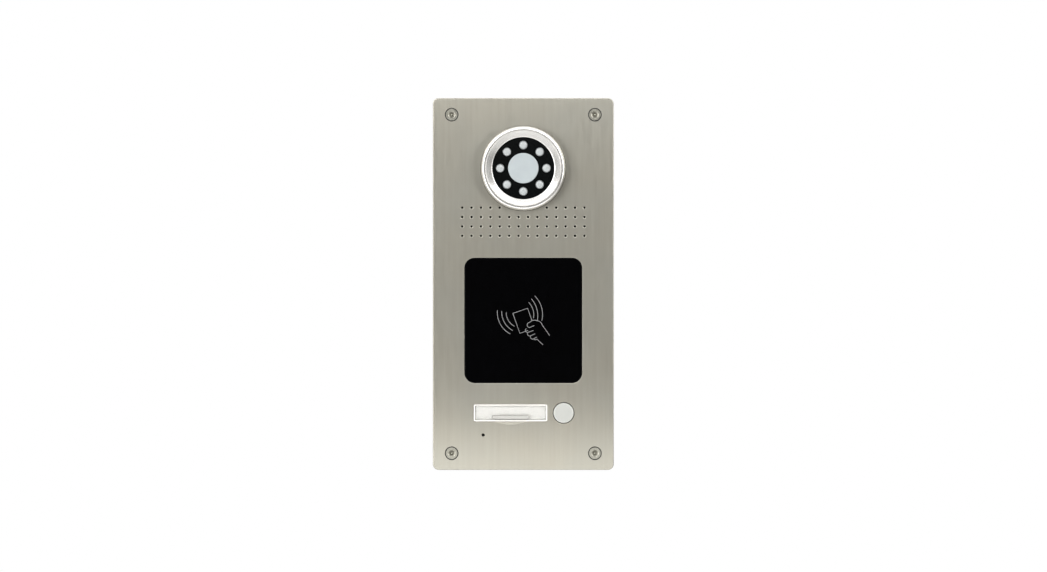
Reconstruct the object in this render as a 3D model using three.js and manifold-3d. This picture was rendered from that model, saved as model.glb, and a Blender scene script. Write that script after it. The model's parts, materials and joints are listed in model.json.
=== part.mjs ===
// A flush-mounted door intercom panel: steel front plate, camera, loudspeaker, card reader, name window,
// call button and microphone, with the rear case and the wall box behind them. Sizes are in millimetres.
// Every piece is drawn in panel space: X to the right, Y up, Z out of the wall towards the visitor, with the
// wall's surface at Z = 0 and the plate's centre at X = Y = 0. The group at the end stands it upright.
import * as THREE from "three";
import { mergeVertices } from "three/addons/utils/BufferGeometryUtils.js";
import Module from "manifold-3d";

const wasm = await Module();
wasm.setup();

// ---------------------------------------------------------------- driving dimensions

// Faces that rest on each other stay this far apart, and round parts sit this much smaller than their bore.
const SEAT_GAP = 0.05;
const FIT_GAP = 0.1;
// Pieces that drop into a pocket or a hole have this much room on each side.
const LOOSE_GAP = 0.2;
// A cutting tool runs this far past the face it opens.
const OVERRUN = 1;
// Facets round a turned piece, by its size.
const FACETS = { large: 40, medium: 24, small: 12 };
const SCREW_FACETS = 16;
const SPRING_STEPS = 11;

const plate = { width: 125, height: 257, thick: 3, cornerR: 4, edgeBreak: 0.5 };
const gasket = { thick: 1, outerInset: 2, innerInset: 9, innerInsetY: 8, cornerR: 3, caseRoom: 1 };
const screw = { insetX: 13, insetY: 11.5, headR: 4.6, shankR: 2.4, headDepth: 2.05, endZ: -14, tip: 0.6 };
const screwSocket = { radius: 2.2, depth: 1.5, pinR: 0.6, pinBelow: 0.2 };

const cameraWindow = { radius: 10.5, thick: 1.6 };
const led = { radius: 3, count: 8, toWindow: 2.3, toRim: 2.4, flangeR: 3.2, flangeThick: 1, dome: 1.3 };
const mask = { thick: 1.5, overlap: 1.1 };
const bezel = { band: 7.75, height: 6, rimWidth: 2.3, wallHeight: 2.2, depth: 5.2 };
const bezelLip = { thick: 0.4, slope: 0.4 };
const bezelSpigot = { wall: 2, inset: 4.45 };
const bezelGroove = { inset: 3.05, width: 0.6, depth: 0.4, step: 0.1 };
const bezelNut = { wall: 2.5, lip: 1.5, lipWidth: 6.8 };
const ledSpacer = { fromFlange: 0.6 };
const ledBoard = { frontZ: -1, thick: 1.6 };
const bracket = { tubeWall: 1.6, tubeOverlap: 0.6 };
const cheek = { apart: 27, thick: 3, height: 16, behindPivot: 5 };
const tilt = { axisZ: -12, pivotR: 1.6 };
const lens = { radius: 7, noseR: 5.6, noseLength: 3, frontZ: 1, rearZ: -10 };
const lensNose = { rimWidth: 1.2, glassR: 3.8, dish: 0.8 };
const lensHolder = { size: 20, frontZ: -8, rearZ: -16, pivotReach: 16 };
const sensorBoard = { size: 24, thick: 1.6 };

const grille = { columns: 14, rows: 4, pitch: 6.5, holeR: 1.2, aboveBezelFoot: 2.05, bezelMargin: 1.2 };
const speaker = { width: 90, room: 0.75, cornerR: 8, depth: 9.5, rearThick: 1.2 };
const speakerFlange = { width: 6, thick: 1.5 };
const speakerMagnet = { width: 36, height: 18, depth: 7, cornerR: 2, border: 3.5 };
const speakerCone = { thick: 0.6, edge: 0.4, rollWidth: 1.5, backset: 1.6 };
const voiceCoil = { radius: 3.2, backset: 7, length: 2 };
const dustMesh = { thick: 0.3, border: 2 };
const speakerGasket = { thick: 1.6, wall: 2 };

const cardWindow = { width: 81.2, height: 86.4, cornerR: 7, belowGrille: 15.3, flange: 3, flangeThick: 1.7 };
const cutOut = { gap: 0.2, recess: 0.05 };
const antennaBoard = { insetX: 2.6, insetY: 3.2, thick: 1.6, cornerR: 4 };
const antennaCoil = { inset: 2, band: 4, thick: 0.5, cornerR: 6, innerR: 3 };

const nameWindow = { x: -8.8, aboveFoot: 39.4, width: 51, height: 11.85, cornerR: 1.4, border: 1 };
const nameFrame = { lip: 1, lipThick: 2, openingR: 0.3 };
const nameCover = { thick: 1.6, gap: 0.175, pinR: 0.4 };
const fingerGroove = { width: 26, height: 2.7, depth: 0.6, aboveEdge: 0.45 };
const thumbRelief = { width: 21, rise: 2, depth: 1 };
const nameCard = { thick: 0.3, gap: 0.25 };
const lightGuide = { thick: 3 };

const button = { radius: 6.9, proud: 0.6, travel: 1.2, holeGap: 0.55, edgeR: 0.5 };
const buttonFlange = { width: 1, thick: 1.2 };
const collar = { guideGap: 0.3, wall: 1.2, shoulder: 1.5, toNameFrame: 0.8 };
const buttonStem = { radius: 2 };
const spring = { meanR: 6.4, wireR: 0.35, turns: 4 };
const callSwitch = { size: 8, height: 4.9, plungerR: 1.7, plungerInside: 2 };
const keyBoard = { frontZ: -12, thick: 1.6, border: 1.2 };
const keyLamp = { width: 3.5, height: 2.8, thick: 1.2, fromMiddle: 14 };

const mic = { x: -27.7, aboveFoot: 24.1, holeR: 1.1, capsuleR: 3, capsuleDepth: 4 };
const micBoot = { radius: 4.6, depth: 5.9, front: 1 };

const rearCase = { edgeInset: 17, wall: 2, rearZ: -30, cornerR: 5, sideRoom: 1, camRoom: 2, frontGap: 0.1 };
const boss = { inset: 6, radius: 3.5, boreR: 1.7, bushR: 3, bushLength: 4, threadR: 1.3, threadDepth: 4.5 };
const caseScrew = { headR: 2.9, headHeight: 2, shankR: 1.25, length: 30, slotWidth: 0.8, slotDepth: 0.9 };
const mainBoard = { frontZ: -22, thick: 1.6, bossGap: 2.5, endGap: 5.5, cameraGap: 4.5 };
const boardPost = { radius: 2.5, inset: 6 };
const terminal = { pitch: 5.08, depth: 8.2, height: 9.8, y: -60, hatchGap: 0.8 };
const terminalScrew = { radius: 1.6, depth: 1.5, fromMiddle: 1 };
const terminalWire = { radius: 1.2, depth: 3.5, fromRear: 4.2 };
const busTerminal = { x: -15, ways: 6 };
const lockTerminal = { x: 18, ways: 3 };
const trimmer = { x: 20, y: -28, size: 6.6, height: 4, hatchGap: 1 };
const trimmerRotor = { radius: 2.2, height: 1.2, slotWidth: 0.6, slotDepth: 0.6 };

const box = { insetX: 6, insetY: 5, depth: 45, sheet: 1.2, cornerR: 1.5, frontGap: 0.1 };
const cableEntry = { holeR: 10, z: -30, flangeR: 12.5, flangeThick: 1.5, boreR: 5, grooveGap: 0.1 };
const wallFixing = { holeR: 2.6, fromEnd: 35 };
const nutBracket = { frontZ: -6, thick: 2, reachX: 6.5, reachY: 4.4, flangeDepth: 14, flangeThick: 1.2 };
const pressedNut = { radius: 4, depth: 4 };

// ---------------------------------------------------------------- places that follow from them

const plateBackZ = gasket.thick;
const plateFrontZ = plateBackZ + plate.thick;
const halfPlateW = plate.width / 2;
const halfPlateH = plate.height / 2;
const screwX = halfPlateW - screw.insetX;
const screwY = halfPlateH - screw.insetY;

// The camera's rings follow each other outwards from its window.
const windowHoleR = cameraWindow.radius + FIT_GAP;
const ledHoleR = led.radius + FIT_GAP;
const ledCircleR = windowHoleR + led.toWindow + ledHoleR;
const maskSeenR = ledCircleR + ledHoleR + led.toRim;
const maskR = maskSeenR + mask.overlap;
const bezelR = maskSeenR + bezel.band;
const spigotR = bezelR - bezelSpigot.inset;
const bezelBoreR = spigotR - bezelSpigot.wall;
const innerRingR = bezelBoreR - 2 * LOOSE_GAP;
const nutBoreR = spigotR + LOOSE_GAP;
const nutR = nutBoreR + bezelNut.wall;
const tubeR = windowHoleR + bracket.tubeOverlap;
const bezelFootZ = plateFrontZ + SEAT_GAP;
const bezelCrestZ = plateFrontZ + bezel.height;
const maskBackZ = plateFrontZ + LOOSE_GAP;
const maskFrontZ = maskBackZ + mask.thick;
const bezelSeatZ = maskFrontZ + FIT_GAP;
const bezelRearZ = -bezel.depth;
const ledBoardRearZ = ledBoard.frontZ - ledBoard.thick;
const cameraWindowFrontZ = maskFrontZ - FIT_GAP;
const cameraWindowRearZ = cameraWindowFrontZ - cameraWindow.thick;

// The rear case hangs inside the four screws; the camera sits under its top wall.
const halfCaseH = halfPlateH - rearCase.edgeInset;
const cameraY = halfCaseH - rearCase.wall - rearCase.camRoom - nutR;

const firstRowY = cameraY - bezelR + grille.aboveBezelFoot;
const lastRowY = firstRowY - (grille.rows - 1) * grille.pitch;
const cardTopY = lastRowY - cardWindow.belowGrille;
const cardY = cardTopY - cardWindow.height / 2;
const cardFlangeW = cardWindow.width + 2 * cardWindow.flange;
const cardFlangeH = cardWindow.height + 2 * cardWindow.flange;
const cardFlangeTopY = cardY + cardFlangeH / 2;
const windowFaceZ = plateFrontZ - cutOut.recess;
const windowBackZ = plateBackZ - SEAT_GAP - cardWindow.flangeThick;

const halfCaseInnerW = Math.max(speaker.width, cardFlangeW) / 2 + rearCase.sideRoom;
const halfCaseW = halfCaseInnerW + rearCase.wall;
const bossX = halfCaseW - boss.inset;
const bossY = halfCaseH - boss.inset;
const halfGasketInnerW = Math.max(halfPlateW - gasket.innerInset, halfCaseW + gasket.caseRoom);
const caseFrontZ = plateBackZ - rearCase.frontGap;
const caseFloorZ = rearCase.rearZ + rearCase.wall;

// The loudspeaker fills the height between the camera's nut and the card window's flange.
const nutFootY = cameraY - nutR;
const speakerH = nutFootY - cardFlangeTopY - 2 * speaker.room;
const speakerY = (nutFootY + cardFlangeTopY) / 2;
const meshFrontZ = plateBackZ - SEAT_GAP;
const meshBackZ = meshFrontZ - dustMesh.thick;
const speakerGasketBackZ = meshBackZ - SEAT_GAP - speakerGasket.thick;
const speakerFrontZ = speakerGasketBackZ - SEAT_GAP;
const speakerRearZ = speakerFrontZ - speakerFlange.thick - speaker.depth;

const nameY = -halfPlateH + nameWindow.aboveFoot;
const nameOpenW = nameWindow.width - 2 * nameWindow.border;
const nameOpenH = nameWindow.height - 2 * nameWindow.border;
const nameCoverW = nameOpenW - 2 * nameCover.gap;
const nameCoverH = nameOpenH - 2 * nameCover.gap;
const nameCoverFrontZ = windowFaceZ - SEAT_GAP;
const nameCoverBackZ = nameCoverFrontZ - nameCover.thick;
const nameHingeY = nameCoverH / 2 - nameCover.thick / 2;
const nameHingeZ = nameCoverBackZ + nameCover.thick / 2;
const nameCardFrontZ = nameCoverBackZ - nameCard.gap;
const nameCardBackZ = nameCardFrontZ - nameCard.thick;

const buttonFlangeR = button.radius + buttonFlange.width;
const collarBoreR = button.radius + collar.guideGap;
const collarWellR = buttonFlangeR + collar.guideGap;
const collarR = collarWellR + collar.wall;
const buttonX = nameWindow.x + nameWindow.width / 2 + nameFrame.lip + collar.toNameFrame + collarR;
const collarFrontZ = plateBackZ - SEAT_GAP;
const collarShoulderZ = collarFrontZ - collar.shoulder;
const buttonFrontZ = plateFrontZ + button.proud;
const buttonFlangeFrontZ = collarShoulderZ - FIT_GAP;
const buttonFlangeBackZ = buttonFlangeFrontZ - buttonFlange.thick;
const keyBoardRearZ = keyBoard.frontZ - keyBoard.thick;
const switchFootZ = keyBoard.frontZ + SEAT_GAP;
const switchTopZ = switchFootZ + callSwitch.height;
const plungerTopZ = switchTopZ + button.travel + LOOSE_GAP;
const plungerFootZ = switchTopZ - callSwitch.plungerInside;
const switchWellZ = plungerFootZ - button.travel - LOOSE_GAP;
const stemEndZ = plungerTopZ + FIT_GAP;

const micY = -halfPlateH + mic.aboveFoot;
const micFrontZ = plateBackZ - SEAT_GAP;

const boardHalfW = bossX - boss.radius - mainBoard.bossGap;
const boardTopY = nutFootY + mainBoard.cameraGap;
const boardFootY = -halfCaseH + rearCase.wall + mainBoard.endGap;
const boardRearZ = mainBoard.frontZ - mainBoard.thick;

const halfBoxW = halfPlateW - box.insetX;
const halfBoxH = halfPlateH - box.insetY;
const boxFrontZ = -box.frontGap;

// ---------------------------------------------------------------- shape tools

// Closed outline of a rectangle with round corners, centred on (x, y).
function roundedRect(width, height, radius, x = 0, y = 0) {
  const left = x - width / 2;
  const right = x + width / 2;
  const foot = y - height / 2;
  const top = y + height / 2;
  const quarter = Math.PI / 2;
  const shape = new THREE.Shape();
  shape.moveTo(left + radius, foot);
  shape.absarc(right - radius, foot + radius, radius, -quarter, 0);
  shape.absarc(right - radius, top - radius, radius, 0, quarter);
  shape.absarc(left + radius, top - radius, radius, quarter, 2 * quarter);
  shape.absarc(left + radius, foot + radius, radius, 2 * quarter, 3 * quarter);
  shape.closePath();
  return shape;
}

function circle(radius, x = 0, y = 0) {
  return new THREE.Shape().absarc(x, y, radius, 0, 2 * Math.PI);
}

// Prisms on one outline or a list of them, from lowZ to highZ.
function prism(outlines, lowZ, highZ, curveSegments = 3) {
  const depth = highZ - lowZ;
  const geometry = new THREE.ExtrudeGeometry(outlines, { depth, curveSegments, bevelEnabled: false });
  return geometry.translate(0, 0, lowZ);
}

function block(width, height, lowZ, highZ, x = 0, y = 0) {
  const geometry = new THREE.BoxGeometry(width, height, highZ - lowZ);
  return geometry.translate(x, y, (lowZ + highZ) / 2);
}

// A ring prism between two outlines.
function frame(outer, inner, lowZ, highZ, curveSegments = 3) {
  outer.holes.push(inner);
  return prism(outer, lowZ, highZ, curveSegments);
}

// A body turned about the Z axis from (radius, z) points in either direction.
function turned(points, segments) {
  let doubleArea = 0;
  points.forEach(([r, z], i) => {
    const [nextR, nextZ] = points[(i + 1) % points.length];
    doubleArea += r * nextZ - nextR * z;
  });
  const ordered = doubleArea < 0 ? [...points].reverse() : [...points];
  const onAxis = points.filter(([r]) => r === 0).length;
  if (onAxis > 0) {
    while (!(ordered[0][0] === 0 && ordered[ordered.length - 1][0] === 0)) {
      ordered.push(ordered.shift());
    }
  } else {
    ordered.push(ordered[0]);
  }
  const profile = ordered.map(([r, z]) => new THREE.Vector2(r, z));
  return new THREE.LatheGeometry(profile, segments).rotateX(Math.PI / 2);
}

function rod(radius, lowZ, highZ, segments = FACETS.small) {
  return turned([[0, lowZ], [radius, lowZ], [radius, highZ], [0, highZ]], segments);
}

function ring(innerR, outerR, lowZ, highZ) {
  const profile = [[innerR, lowZ], [outerR, lowZ], [outerR, highZ], [innerR, highZ]];
  return turned(profile, FACETS.large);
}

// Points on an elliptical arc about (centreR, centreZ), for turned profiles.
function arc(centreR, centreZ, radiusR, radiusZ, fromDeg, toDeg, steps) {
  return Array.from({ length: steps + 1 }, (_, i) => {
    const angle = THREE.MathUtils.degToRad(fromDeg + ((toDeg - fromDeg) * i) / steps);
    return [centreR + radiusR * Math.cos(angle), centreZ + radiusZ * Math.sin(angle)];
  });
}

function solidOf(geometry) {
  const bare = new THREE.BufferGeometry();
  bare.setAttribute("position", geometry.getAttribute("position"));
  bare.setIndex(geometry.getIndex());
  const merged = mergeVertices(bare);
  const vertProperties = merged.attributes.position.array;
  const triVerts = new Uint32Array(merged.index.array);
  return new wasm.Manifold(new wasm.Mesh({ numProp: 3, vertProperties, triVerts }));
}

function geometryOf(solid) {
  const mesh = solid.getMesh();
  const geometry = new THREE.BufferGeometry();
  geometry.setAttribute("position", new THREE.BufferAttribute(mesh.vertProperties, 3));
  geometry.setIndex(new THREE.BufferAttribute(mesh.triVerts, 1));
  return geometry;
}

function join(...geometries) {
  return geometryOf(geometries.map(solidOf).reduce((sum, next) => sum.add(next)));
}

function cut(body, ...tools) {
  return geometryOf(tools.map(solidOf).reduce((rest, tool) => rest.subtract(tool), solidOf(body)));
}

function common(first, second) {
  return geometryOf(solidOf(first).intersect(solidOf(second)));
}

// The same geometry at each of the four corners (±x, ±y).
function atCorners(x, y, make) {
  return [[-x, y], [x, y], [-x, -y], [x, -y]].map(([cornerX, cornerY]) => make(cornerX, cornerY));
}

// ---------------------------------------------------------------- materials

const finishes = {
  stainless: { color: 0xa6a296, roughness: 0.35, metalness: 1 },
  screwSteel: { color: 0xa8a79f, roughness: 0.35, metalness: 1 },
  turnedAluminium: { color: 0xd7dbe0, roughness: 0.25, metalness: 1 },
  buttonMetal: { color: 0xdcddd8, roughness: 0.4, metalness: 0.8 },
  springSteel: { color: 0x9a9da0, roughness: 0.3, metalness: 1 },
  galvanised: { color: 0x9ea3a6, roughness: 0.5, metalness: 0.9 },
  copper: { color: 0xb87346, roughness: 0.35, metalness: 1 },
  blackMask: { color: 0x0b0b0c, roughness: 0.4, metalness: 0 },
  blackGloss: { color: 0x060607, roughness: 0.08, metalness: 0 },
  windowGlass: { color: 0xced4d3, roughness: 0.15, metalness: 0.2 },
  ledLens: { color: 0xd9dada, roughness: 0.3, metalness: 0 },
  whitePlastic: { color: 0xeae6e0, roughness: 0.45, metalness: 0 },
  clearPlastic: { color: 0xf4f3f0, roughness: 0.1, metalness: 0 },
  paper: { color: 0xf5f3ee, roughness: 0.9, metalness: 0 },
  blackPlastic: { color: 0x1d1e20, roughness: 0.5, metalness: 0 },
  greenTerminal: { color: 0x2f7d4a, roughness: 0.45, metalness: 0 },
  circuitBoard: { color: 0x1f5a36, roughness: 0.4, metalness: 0 },
  ferrite: { color: 0x3a3b3e, roughness: 0.6, metalness: 0.4 },
  foam: { color: 0x232323, roughness: 0.95, metalness: 0 },
  rubber: { color: 0x1a1a1b, roughness: 0.8, metalness: 0 },
  conePaper: { color: 0x2b2a29, roughness: 0.9, metalness: 0 },
  meshCloth: { color: 0x151515, roughness: 0.9, metalness: 0 },
};

function piece(name, geometry, finish, x = 0, y = 0) {
  const mesh = new THREE.Mesh(geometry, new THREE.MeshStandardMaterial(finishes[finish]));
  mesh.name = name;
  mesh.position.set(x, y, 0);
  return mesh;
}

function groupAt(x, y, pieces) {
  const group = new THREE.Group();
  group.position.set(x, y, 0);
  group.add(...pieces);
  return group;
}

// ---------------------------------------------------------------- front plate, gasket and screws

// The grille's holes, without those that the camera bezel would cover.
function grilleHoles() {
  const holes = [];
  for (let row = 0; row < grille.rows; row += 1) {
    for (let column = 0; column < grille.columns; column += 1) {
      const x = (column - (grille.columns - 1) / 2) * grille.pitch;
      const y = firstRowY - row * grille.pitch;
      const clear = bezelR + grille.holeR + grille.bezelMargin;
      if (Math.hypot(x, y - cameraY) > clear) holes.push(circle(grille.holeR, x, y));
    }
  }
  return holes;
}

// A shallow ball-ended recess under the name window, where a fingertip reaches the cover's lower edge.
function thumbReliefTool() {
  const { width, rise, depth } = thumbRelief;
  const discR = (width ** 2 / 4 + rise ** 2) / (2 * rise);
  const toCentre = discR - rise;
  const ballZ = ((discR ** 2 - toCentre ** 2) / depth - depth) / 2;
  const ballR = Math.hypot(discR, ballZ);
  const steps = 5;
  const profile = [[0, plateFrontZ + OVERRUN]];
  for (let i = 0; i <= steps; i += 1) {
    const r = toCentre - OVERRUN + ((rise + 2 * OVERRUN) * i) / steps;
    profile.push([r, plateFrontZ + ballZ - Math.sqrt(ballR ** 2 - r ** 2)]);
  }
  profile.splice(1, 0, [0, profile[1][1]]);
  profile.push([profile.at(-1)[0], plateFrontZ + OVERRUN]);
  const ball = turned(profile, 96).translate(0, toCentre, 0);
  const edge = -nameWindow.height / 2 - cutOut.gap;
  const below = block(2 * width, 2 * rise, 0, plateFrontZ + 2 * OVERRUN, 0, -rise + cutOut.gap);
  return common(ball, below).translate(nameWindow.x, nameY + edge, 0);
}

function countersinkTool(x, y) {
  const throughR = screw.shankR + LOOSE_GAP + FIT_GAP;
  const mouthR = screw.headR + FIT_GAP;
  const headFootZ = plateFrontZ - screw.headDepth;
  const slope = (mouthR - throughR) / screw.headDepth;
  const flareR = mouthR + slope * FIT_GAP;
  return turned([
    [0, plateBackZ - OVERRUN],
    [throughR, plateBackZ - OVERRUN],
    [throughR, headFootZ - FIT_GAP],
    [flareR, plateFrontZ],
    [flareR, plateFrontZ + OVERRUN],
    [0, plateFrontZ + OVERRUN],
  ], SCREW_FACETS).translate(x, y, 0);
}

function frontPlate() {
  const edge = plate.edgeBreak;
  const blank = new THREE.ExtrudeGeometry(roundedRect(plate.width, plate.height, plate.cornerR), {
    depth: plate.thick - 2 * edge,
    curveSegments: 3,
    bevelThickness: edge,
    bevelSize: edge,
    bevelOffset: -edge,
    bevelSegments: 1,
  }).translate(0, 0, plateBackZ + edge);
  const lowZ = plateBackZ - OVERRUN;
  const highZ = plateFrontZ + OVERRUN;
  const cutOutFor = ({ width, height, cornerR }, x, y) => {
    const gap = cutOut.gap;
    return roundedRect(width + 2 * gap, height + 2 * gap, cornerR + gap, x, y);
  };
  const cardHole = cutOutFor(cardWindow, 0, cardY);
  const nameHole = cutOutFor(nameWindow, nameWindow.x, nameY);
  const drilled = cut(
    blank,
    prism(grilleHoles(), lowZ, highZ, 4),
    prism([cardHole, nameHole], lowZ, highZ),
    prism(circle(mic.holeR, mic.x, micY), lowZ, highZ, 5),
    rod(spigotR + LOOSE_GAP, lowZ, highZ, FACETS.large).translate(0, cameraY, 0),
    rod(button.radius + button.holeGap, lowZ, highZ, FACETS.medium).translate(buttonX, nameY, 0),
    thumbReliefTool(),
    ...atCorners(screwX, screwY, countersinkTool),
  );
  const bushes = atCorners(bossX, bossY, (x, y) => {
    const post = rod(boss.bushR, plateBackZ - boss.bushLength, plateBackZ + plate.thick / 2);
    return post.translate(x, y, 0);
  });
  const threads = atCorners(bossX, bossY, (x, y) => {
    const footZ = plateBackZ - boss.bushLength;
    return rod(boss.threadR, footZ - OVERRUN, footZ + boss.threadDepth, 8).translate(x, y, 0);
  });
  return cut(join(drilled, ...bushes), ...threads);
}

function panelGasket() {
  const { outerInset, innerInsetY, cornerR } = gasket;
  const outer = roundedRect(plate.width - 2 * outerInset, plate.height - 2 * outerInset, cornerR);
  const inner = roundedRect(2 * halfGasketInnerW, plate.height - 2 * innerInsetY, cornerR);
  return frame(outer, inner, 0, plateBackZ - SEAT_GAP, 2);
}

// Countersunk head with a round socket and a pin left standing in it.
function panelScrew() {
  const topZ = plateFrontZ - cutOut.recess;
  const socketZ = topZ - screwSocket.depth;
  return turned([
    [0, screw.endZ],
    [screw.shankR - screw.tip, screw.endZ],
    [screw.shankR, screw.endZ + screw.tip],
    [screw.shankR, topZ - screw.headDepth],
    [screw.headR, topZ],
    [screwSocket.radius, topZ],
    [screwSocket.radius, socketZ],
    [screwSocket.pinR, socketZ],
    [screwSocket.pinR, topZ - screwSocket.pinBelow],
    [0, topZ - screwSocket.pinBelow],
  ], SCREW_FACETS);
}

// ---------------------------------------------------------------- camera

function cameraBezel() {
  const rimInnerR = bezelR - bezel.rimWidth;
  const shoulderZ = bezelFootZ + bezel.wallHeight;
  const grooveOuterR = bezelR - bezelGroove.inset + bezelGroove.width / 2;
  const grooveInnerR = grooveOuterR - bezelGroove.width;
  const lipFrontZ = bezelSeatZ + bezelLip.thick;
  return turned([
    [bezelBoreR, bezelRearZ],
    [spigotR, bezelRearZ],
    [spigotR, bezelFootZ],
    [bezelR, bezelFootZ],
    ...arc(rimInnerR, shoulderZ, bezel.rimWidth, bezelCrestZ - shoulderZ, 0, 90, 4),
    [grooveOuterR, bezelCrestZ],
    [(grooveOuterR + grooveInnerR) / 2, bezelCrestZ - bezelGroove.depth],
    [grooveInnerR, bezelCrestZ - bezelGroove.step],
    [maskSeenR + bezelLip.slope, lipFrontZ + bezelLip.slope / 2],
    [maskSeenR, lipFrontZ],
    [maskSeenR, bezelSeatZ],
    [bezelBoreR, bezelSeatZ],
  ], FACETS.large);
}

function bezelRingNut() {
  const footZ = bezelRearZ - FIT_GAP;
  const frontZ = plateBackZ - LOOSE_GAP;
  const lipR = nutR - bezelNut.lipWidth;
  return turned([
    [lipR, footZ - bezelNut.lip],
    [nutR, footZ - bezelNut.lip],
    [nutR, frontZ],
    [nutBoreR, frontZ],
    [nutBoreR, footZ],
    [lipR, footZ],
  ], FACETS.large);
}

function ledPlaces() {
  return Array.from({ length: led.count }, (_, i) => {
    const angle = Math.PI / 2 - (2 * Math.PI * i) / led.count;
    return [ledCircleR * Math.cos(angle), ledCircleR * Math.sin(angle)];
  });
}

function cameraMask() {
  const disc = rod(maskR, maskBackZ, maskFrontZ, FACETS.large);
  const windowHole = rod(windowHoleR, maskBackZ - OVERRUN, maskFrontZ + OVERRUN, FACETS.large);
  const ledHoles = ledPlaces().map(([x, y]) => {
    return rod(ledHoleR, maskBackZ - OVERRUN, maskFrontZ + OVERRUN).translate(x, y, 0);
  });
  return cut(disc, windowHole, ...ledHoles);
}

function nightLed() {
  const footZ = ledBoard.frontZ + SEAT_GAP;
  const tipZ = maskFrontZ + LOOSE_GAP;
  return turned([
    [0, footZ],
    [led.flangeR, footZ],
    [led.flangeR, footZ + led.flangeThick],
    [led.radius, footZ + led.flangeThick],
    ...arc(0, tipZ - led.dome, led.radius, led.dome, 0, 60, 2),
    [0, tipZ],
  ], FACETS.small);
}

function cameraBracket() {
  const flangeR = bezelBoreR - 3 * LOOSE_GAP;
  const flangeFrontZ = ledBoardRearZ - FIT_GAP;
  const tubeFrontZ = cameraWindowRearZ - FIT_GAP;
  const body = turned([
    [tubeR - bracket.tubeWall, bezelRearZ],
    [flangeR, bezelRearZ],
    [flangeR, flangeFrontZ],
    [tubeR, flangeFrontZ],
    [tubeR, tubeFrontZ],
    [tubeR - bracket.tubeWall, tubeFrontZ],
  ], FACETS.large);
  const cheekX = (cheek.apart + cheek.thick) / 2;
  const cheeks = [-cheekX, cheekX].map((x) => {
    return block(cheek.thick, cheek.height, tilt.axisZ - cheek.behindPivot, bezelRearZ + OVERRUN, x);
  });
  const reach = cheekX + cheek.thick;
  const pivotHole = rod(tilt.pivotR + FIT_GAP, -reach, reach).rotateY(Math.PI / 2);
  return cut(join(body, ...cheeks), pivotHole.translate(0, 0, tilt.axisZ));
}

// The barrel's nose is dished round its front glass.
function lensBarrel() {
  return turned([
    [0, lens.rearZ],
    [lens.radius, lens.rearZ],
    [lens.radius, lens.frontZ - lens.noseLength],
    [lens.noseR, lens.frontZ],
    [lens.noseR - lensNose.rimWidth, lens.frontZ],
    [lensNose.glassR, lens.frontZ - lensNose.dish],
    [0, lens.frontZ - lensNose.dish / 2],
  ], FACETS.medium);
}

function lensMount() {
  const body = block(lensHolder.size, lensHolder.size, lensHolder.rearZ, lensHolder.frontZ);
  const pivots = rod(tilt.pivotR, -lensHolder.pivotReach, lensHolder.pivotReach).rotateY(Math.PI / 2);
  const boreEndZ = lensHolder.frontZ + OVERRUN;
  const bore = rod(lens.radius + FIT_GAP, lens.rearZ - FIT_GAP, boreEndZ, FACETS.medium);
  const lightPath = rod(lens.noseR, lensHolder.rearZ - OVERRUN, lens.rearZ, FACETS.medium);
  return cut(join(body, pivots.translate(0, 0, tilt.axisZ)), bore, lightPath);
}

function cameraUnit() {
  const window = rod(cameraWindow.radius, cameraWindowRearZ, cameraWindowFrontZ, FACETS.large);
  const spacerR = ledCircleR + led.flangeR + ledSpacer.fromFlange;
  const spacer = ring(spacerR, innerRingR, ledBoard.frontZ + FIT_GAP, maskBackZ - FIT_GAP);
  const board = ring(tubeR + LOOSE_GAP, innerRingR, ledBoardRearZ, ledBoard.frontZ);
  const sensorTopZ = lensHolder.rearZ - FIT_GAP;
  const sensor = block(sensorBoard.size, sensorBoard.size, sensorTopZ - sensorBoard.thick, sensorTopZ);
  return groupAt(0, cameraY, [
    piece("camera_bezel", cameraBezel(), "turnedAluminium"),
    piece("bezel_nut", bezelRingNut(), "turnedAluminium"),
    piece("camera_mask", cameraMask(), "blackMask"),
    piece("camera_window", window, "windowGlass"),
    ...ledPlaces().map(([x, y], i) => piece(`night_led_${i + 1}`, nightLed(), "ledLens", x, y)),
    piece("led_spacer", spacer, "blackPlastic"),
    piece("led_board", board, "circuitBoard"),
    piece("camera_bracket", cameraBracket(), "blackPlastic"),
    piece("lens_barrel", lensBarrel(), "blackPlastic"),
    piece("lens_holder", lensMount(), "blackPlastic"),
    piece("sensor_board", sensor, "circuitBoard"),
  ]);
}

// ---------------------------------------------------------------- loudspeaker

// The outline of the cloth and of the foam frame: grille and speaker, less a bay round the camera's nut.
function grilleCover(lowZ, highZ, inset) {
  const foot = speakerY - speakerH / 2 + inset;
  const top = firstRowY + grille.holeR + dustMesh.border - inset;
  const width = speaker.width - 2 * inset;
  const sheet = block(width, top - foot, lowZ, highZ, 0, (top + foot) / 2);
  const bay = rod(nutR + speaker.room + inset, lowZ - OVERRUN, highZ + OVERRUN, FACETS.large);
  return cut(sheet, bay.translate(0, cameraY, 0));
}

function foamFrame() {
  const backZ = speakerGasketBackZ;
  const frontZ = meshBackZ - SEAT_GAP;
  const inside = grilleCover(backZ - OVERRUN, frontZ + OVERRUN, speakerGasket.wall);
  return cut(grilleCover(backZ, frontZ, 0), inside);
}

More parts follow.
